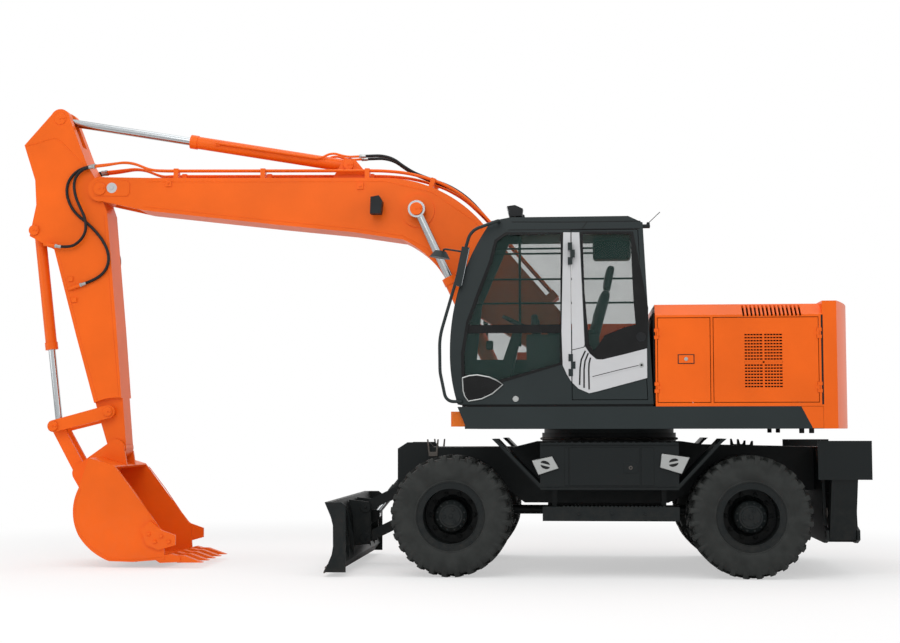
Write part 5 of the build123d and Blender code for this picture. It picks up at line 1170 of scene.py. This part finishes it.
# Roof: sealed seams along its side, a steel hatch with a bent handle, a low vent box, and the
# whip aerial on its foot at the rear corner.
ROOF_TOP = 3.1095
made = bmesh.new()
for line in (
    [(0.534, 3.069), (1.040, 3.062), (1.646, 3.063)],
    [(1.183, 3.058), (1.140, 2.998)],
    [(0.500, 2.998), (1.640, 2.998)],
):
    side_sheet(made, strips(line, 0.0035), 0.0002, 0.0012)
finish_piece("roof_seams", made, seal_rubber, "upper")
made = bmesh.new()
box(made, (FRONT_AXLE + 0.700, -1.030, ROOF_TOP), (FRONT_AXLE + 1.190, -0.560, 3.128), 0.008, 2)
handle = ((1.252, 3.109), (1.262, 3.142), (1.321, 3.142), (1.331, 3.109))
bead(made, [(FRONT_AXLE + x, -0.86, z) for x, z in handle], 0.006, 8)
box(made, (FRONT_AXLE + 1.424, -0.92, ROOF_TOP), (FRONT_AXLE + 1.524, -0.80, 3.136), 0.006, 2)
finish_piece("roof_fittings", made, dark_grey, "upper")
made = bmesh.new()
box(made, (FRONT_AXLE + 1.655, -1.035, 3.020), (FRONT_AXLE + 1.735, -0.990, 3.052), 0.006, 2)
foot = (FRONT_AXLE + 1.716, -1.012, 3.050)
round_boss(made, foot, (0.3, 0, 1), 0.014, 0.022, sides=16, edge=0.004)
bead(made, [(FRONT_AXLE + 1.722, -1.012, 3.066), (FRONT_AXLE + 1.822, -1.012, 3.160)], 0.0035)
finish_piece("aerial", made, black_plastic, "upper")

# Mirrors: silvered glass on the rear faces of the tall one and of the one on the tool box.
TALL_MIRROR = [(0.1700, 2.828), (0.1015, 2.507), (0.0985, 2.508), (0.1670, 2.829)]
made = bmesh.new()
slab(made, moved((FRONT_AXLE, 0), TALL_MIRROR), -1.257, -1.209)
box(made, (FRONT_AXLE + 0.1899, 1.065, 2.142), (FRONT_AXLE + 0.1929, 1.235, 2.458), 0.001)
finish_piece("mirror_glass", made, mirror_glass, "upper")

# Work lamps on the roof: ribbed clear lenses let into their housings.
LENS = [(0.8235, 3.143), (0.8035, 3.225), (0.8005, 3.2245), (0.8205, 3.1425)]
made = bmesh.new()
for y in (-0.965, -0.555):
    slab(made, LENS, y - 0.052, y + 0.052, 0.001)
finish_piece("work_lamp_lenses", made, clear_lens, "upper")

# House: the latch with its lock on the front door, square holes made by thin uprights across
# the grille's rows, the plain band between its two halves, and the doors' dark inner mesh.
made = bmesh.new()
panel(made, (2.270, 1.822), (2.411, 1.904), -1.2285, -1.2245, 0.0015)
finish_piece("latch_frame", made, black_plastic, "service_door_front_left")
made = bmesh.new()
panel(made, (2.278, 1.829), (2.403, 1.897), -1.2310, -1.2280, 0.0012)
finish_piece("latch_plate", made, orange, "service_door_front_left")
made = bmesh.new()
round_boss(made, (2.340, -1.2305, 1.863), OUT_LEFT, 0.017, 0.005, sides=28, edge=0.002)
finish_piece("latch_lock", made, zinc, "service_door_front_left")
GRILLE_X = 2.835
COLUMN_PITCH = 0.166
HOLE_PITCH = 0.025
for name, side in (("rear_left", -1), ("right", 1)):
    made = bmesh.new()
    for column in (0, 1):
        for n in range(5):
            x = GRILLE_X + column * COLUMN_PITCH + HOLE_PITCH * (n + 1) - 0.0045
            panel(made, (x, 1.619), (x + 0.005, 2.076), side * 1.2180, side * 1.2245)
    panel(made, (2.833, 1.8270), (3.153, 1.8420), side * 1.2190, side * 1.2250)
    finish_piece(f"grille_uprights_{name}", made, orange, f"service_door_{name}")
    made = bmesh.new()
    panel(made, (2.825, 1.612), (3.161, 2.084), side * 1.2000, side * 1.1960)
    finish_piece(f"grille_mesh_{name}", made, seal_rubber, f"service_door_{name}")

# Counterweight, one iron casting: its orange paint runs on over the sill's rear corner, a dark
# joint line parts it from the house, and rubber feet hang below it.
SILL_CORNER = [(3.3035, 1.457), (3.3975, 1.273), (3.4860, 1.273), (3.4860, 1.457)]
made = bmesh.new()
for side in (-1, 1):
    slab(made, SILL_CORNER, side * 1.2240, side * 1.2265, 0.0008)
finish_piece("sill_corners", made, orange, "upper")
made = bmesh.new()
for side in (-1, 1):
    panel(made, (3.4770, 1.474), (3.4930, 2.236), side * 1.2243, side * 1.2258)
    for x in (3.317, 3.400):
        foot = (x, side * 1.120, 1.2705)
        round_boss(made, foot, (0, 0, -1), 0.022, 0.040, sides=20, edge=0.004)
finish_piece("weight_seams", made, seal_rubber, "upper")

# Hoses end in plated steel ferrules, pressed on, with a hexagon against the fitting.
FERRULES = [
    # name, body, end (X from the front axle, Z, distance from the middle), way along the hose
    ("arm_long_top", "boom", (-3.498, 3.796, 0.180), (-0.09, -0.008)),
    ("arm_short_top", "boom", (-3.498, 3.781, 0.212), (-0.09, -0.008)),
    ("arm_long_foot", "arm", (-3.641, 2.644, 0.180), (0.141, 0.046)),
    ("arm_short_foot", "arm", (-3.881, 3.022, 0.212), (0.141, -0.022)),
    ("cylinder_top", "arm_cylinder_barrel", (-0.965, 3.863, 0.080), (0.100, 0.003)),
    ("cylinder_foot", "boom", (0.899, 2.503, 0.070), (-0.209, 0.240)),
]
HEXAGON = 0.020
for name, body, (x, z, y), (way_x, way_z) in FERRULES:
    made = bmesh.new()
    for side in (-1, 1):
        way = Vector((way_x, 0, way_z)).normalized()
        start = Vector((FRONT_AXLE + x, side * y, z)) + way * 0.002
        round_boss(made, start, way, 0.0195, HEXAGON, sides=6, edge=0.002)
        round_boss(made, start + way * HEXAGON, way, 0.0175, 0.042, sides=20, edge=0.003)
    finish_piece(f"ferrules_{name}", made, zinc, body)


# Seat: three crowned foam cushions in woven cloth with sewn channels, on a sprung foot with
# rubber bellows.
def cushion(name, low, high, corner, crown, channels, at, turn=0.0):
    """A padded block: rounded corners, a crowned face towards +Z and sewn channels in it."""
    made = bmesh.new()
    bmesh.ops.create_cube(made, size=2)
    bmesh.ops.subdivide_edges(made, edges=made.edges[:], cuts=15, use_grid_fill=True)
    middle = (Vector(low) + Vector(high)) / 2
    half = (Vector(high) - Vector(low)) / 2
    for vert in made.verts:
        u, v, w = vert.co
        place = Vector((u * half.x, v * half.y, w * half.z))
        inner = Vector([max(-h + corner, min(h - corner, p)) for p, h in zip(place, half)])
        out = place - inner
        if out.length > 0:
            out = out.normalized() * corner
        place = inner + out
        swell = (1 - u * u) * (1 - v * v)
        if w > 0:
            place.z += crown * (swell - 1)
            for axis, spot, wide, deep in channels:
                away = (place.x if axis == "x" else place.y) - spot
                place.z -= deep * math.exp(-((away / wide) ** 2)) * min(1, 4 * swell)
        place.y *= 1 - 0.05 * (1 - u * u) * abs(w)
        vert.co = place + middle
    if turn:
        spin = Matrix.Rotation(math.radians(turn), 4, "Y")
        bmesh.ops.transform(made, matrix=spin, verts=made.verts)
    bmesh.ops.translate(made, vec=Vector(at), verts=made.verts)
    piece = finish_piece(name, made, seat_fabric, "upper", smooth=60)
    finer = piece.modifiers.new("finer", "SUBSURF")
    finer.levels = 1
    finer.render_levels = 1
    return piece


SEAT_X = 1.306
SEAT_Y = -0.810
CAB_FLOOR = 1.525
pad = cushion(
    "seat_cushion",
    (-0.256, -0.236, 0.262),
    (0.160, 0.236, 0.388),
    0.045,
    0.020,
    [("y", -0.150, 0.010, 0.012), ("y", 0.150, 0.010, 0.012), ("x", -0.120, 0.010, 0.008)],
    at=(SEAT_X, SEAT_Y, CAB_FLOOR),
)
rest = cushion(
    "seat_back",
    (-0.290, -0.226, -0.050),
    (0.290, 0.226, 0.052),
    0.040,
    0.018,
    [("y", -0.140, 0.010, 0.012), ("y", 0.140, 0.010, 0.012), ("x", 0.0, 0.010, 0.010)],
    at=(SEAT_X + 0.284, SEAT_Y, CAB_FLOOR + 0.675),
    turn=-74.8,
)
head = cushion(
    "seat_headrest",
    (-0.112, -0.116, -0.036),
    (0.112, 0.116, 0.038),
    0.030,
    0.010,
    [],
    at=(SEAT_X + 0.388, SEAT_Y, CAB_FLOOR + 1.072),
    turn=-78.0,
)


def seat_box(made, x_low, x_high, half, z_low, z_high, bevel):
    """A block under the seat, the same to both sides of its middle."""
    low = (SEAT_X + x_low, SEAT_Y - half, CAB_FLOOR + z_low)
    high = (SEAT_X + x_high, SEAT_Y + half, CAB_FLOOR + z_high)
    box(made, low, high, bevel, 2)


made = bmesh.new()
seat_box(made, -0.195, 0.295, 0.175, 0.001, 0.045, 0.008)
for n in range(6):
    z = 0.046 + n * 0.029
    seat_box(made, -0.150, 0.230, 0.150, z, z + 0.026, 0.010)
seat_box(made, -0.195, 0.240, 0.200, 0.221, 0.260, 0.010)
base = finish_piece("seat_foot", made, black_plastic, "upper")
for piece in (pad, rest, head, base):
    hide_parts("seat")

# Controls, moulded plastic: grips on the two levers, arm pads on the consoles, and a screen by
# the front post.
made = bmesh.new()
for side in (-1, 1):
    y = SEAT_Y + side * 0.297
    grip = (SEAT_X - 0.260, y, CAB_FLOOR + 0.640)
    round_boss(made, grip, (0, 0, 1), 0.030, 0.098, sides=20, edge=0.012)
    low = (SEAT_X - 0.150, y - 0.040, CAB_FLOOR + 0.5605)
    box(made, low, (SEAT_X + 0.260, y + 0.040, CAB_FLOOR + 0.600), 0.015, 3)
box(made, (FRONT_AXLE + 0.270, -0.560, 1.990), (FRONT_AXLE + 0.330, -0.455, 2.070), 0.010, 2)
finish_piece("controls", made, black_plastic, "upper")
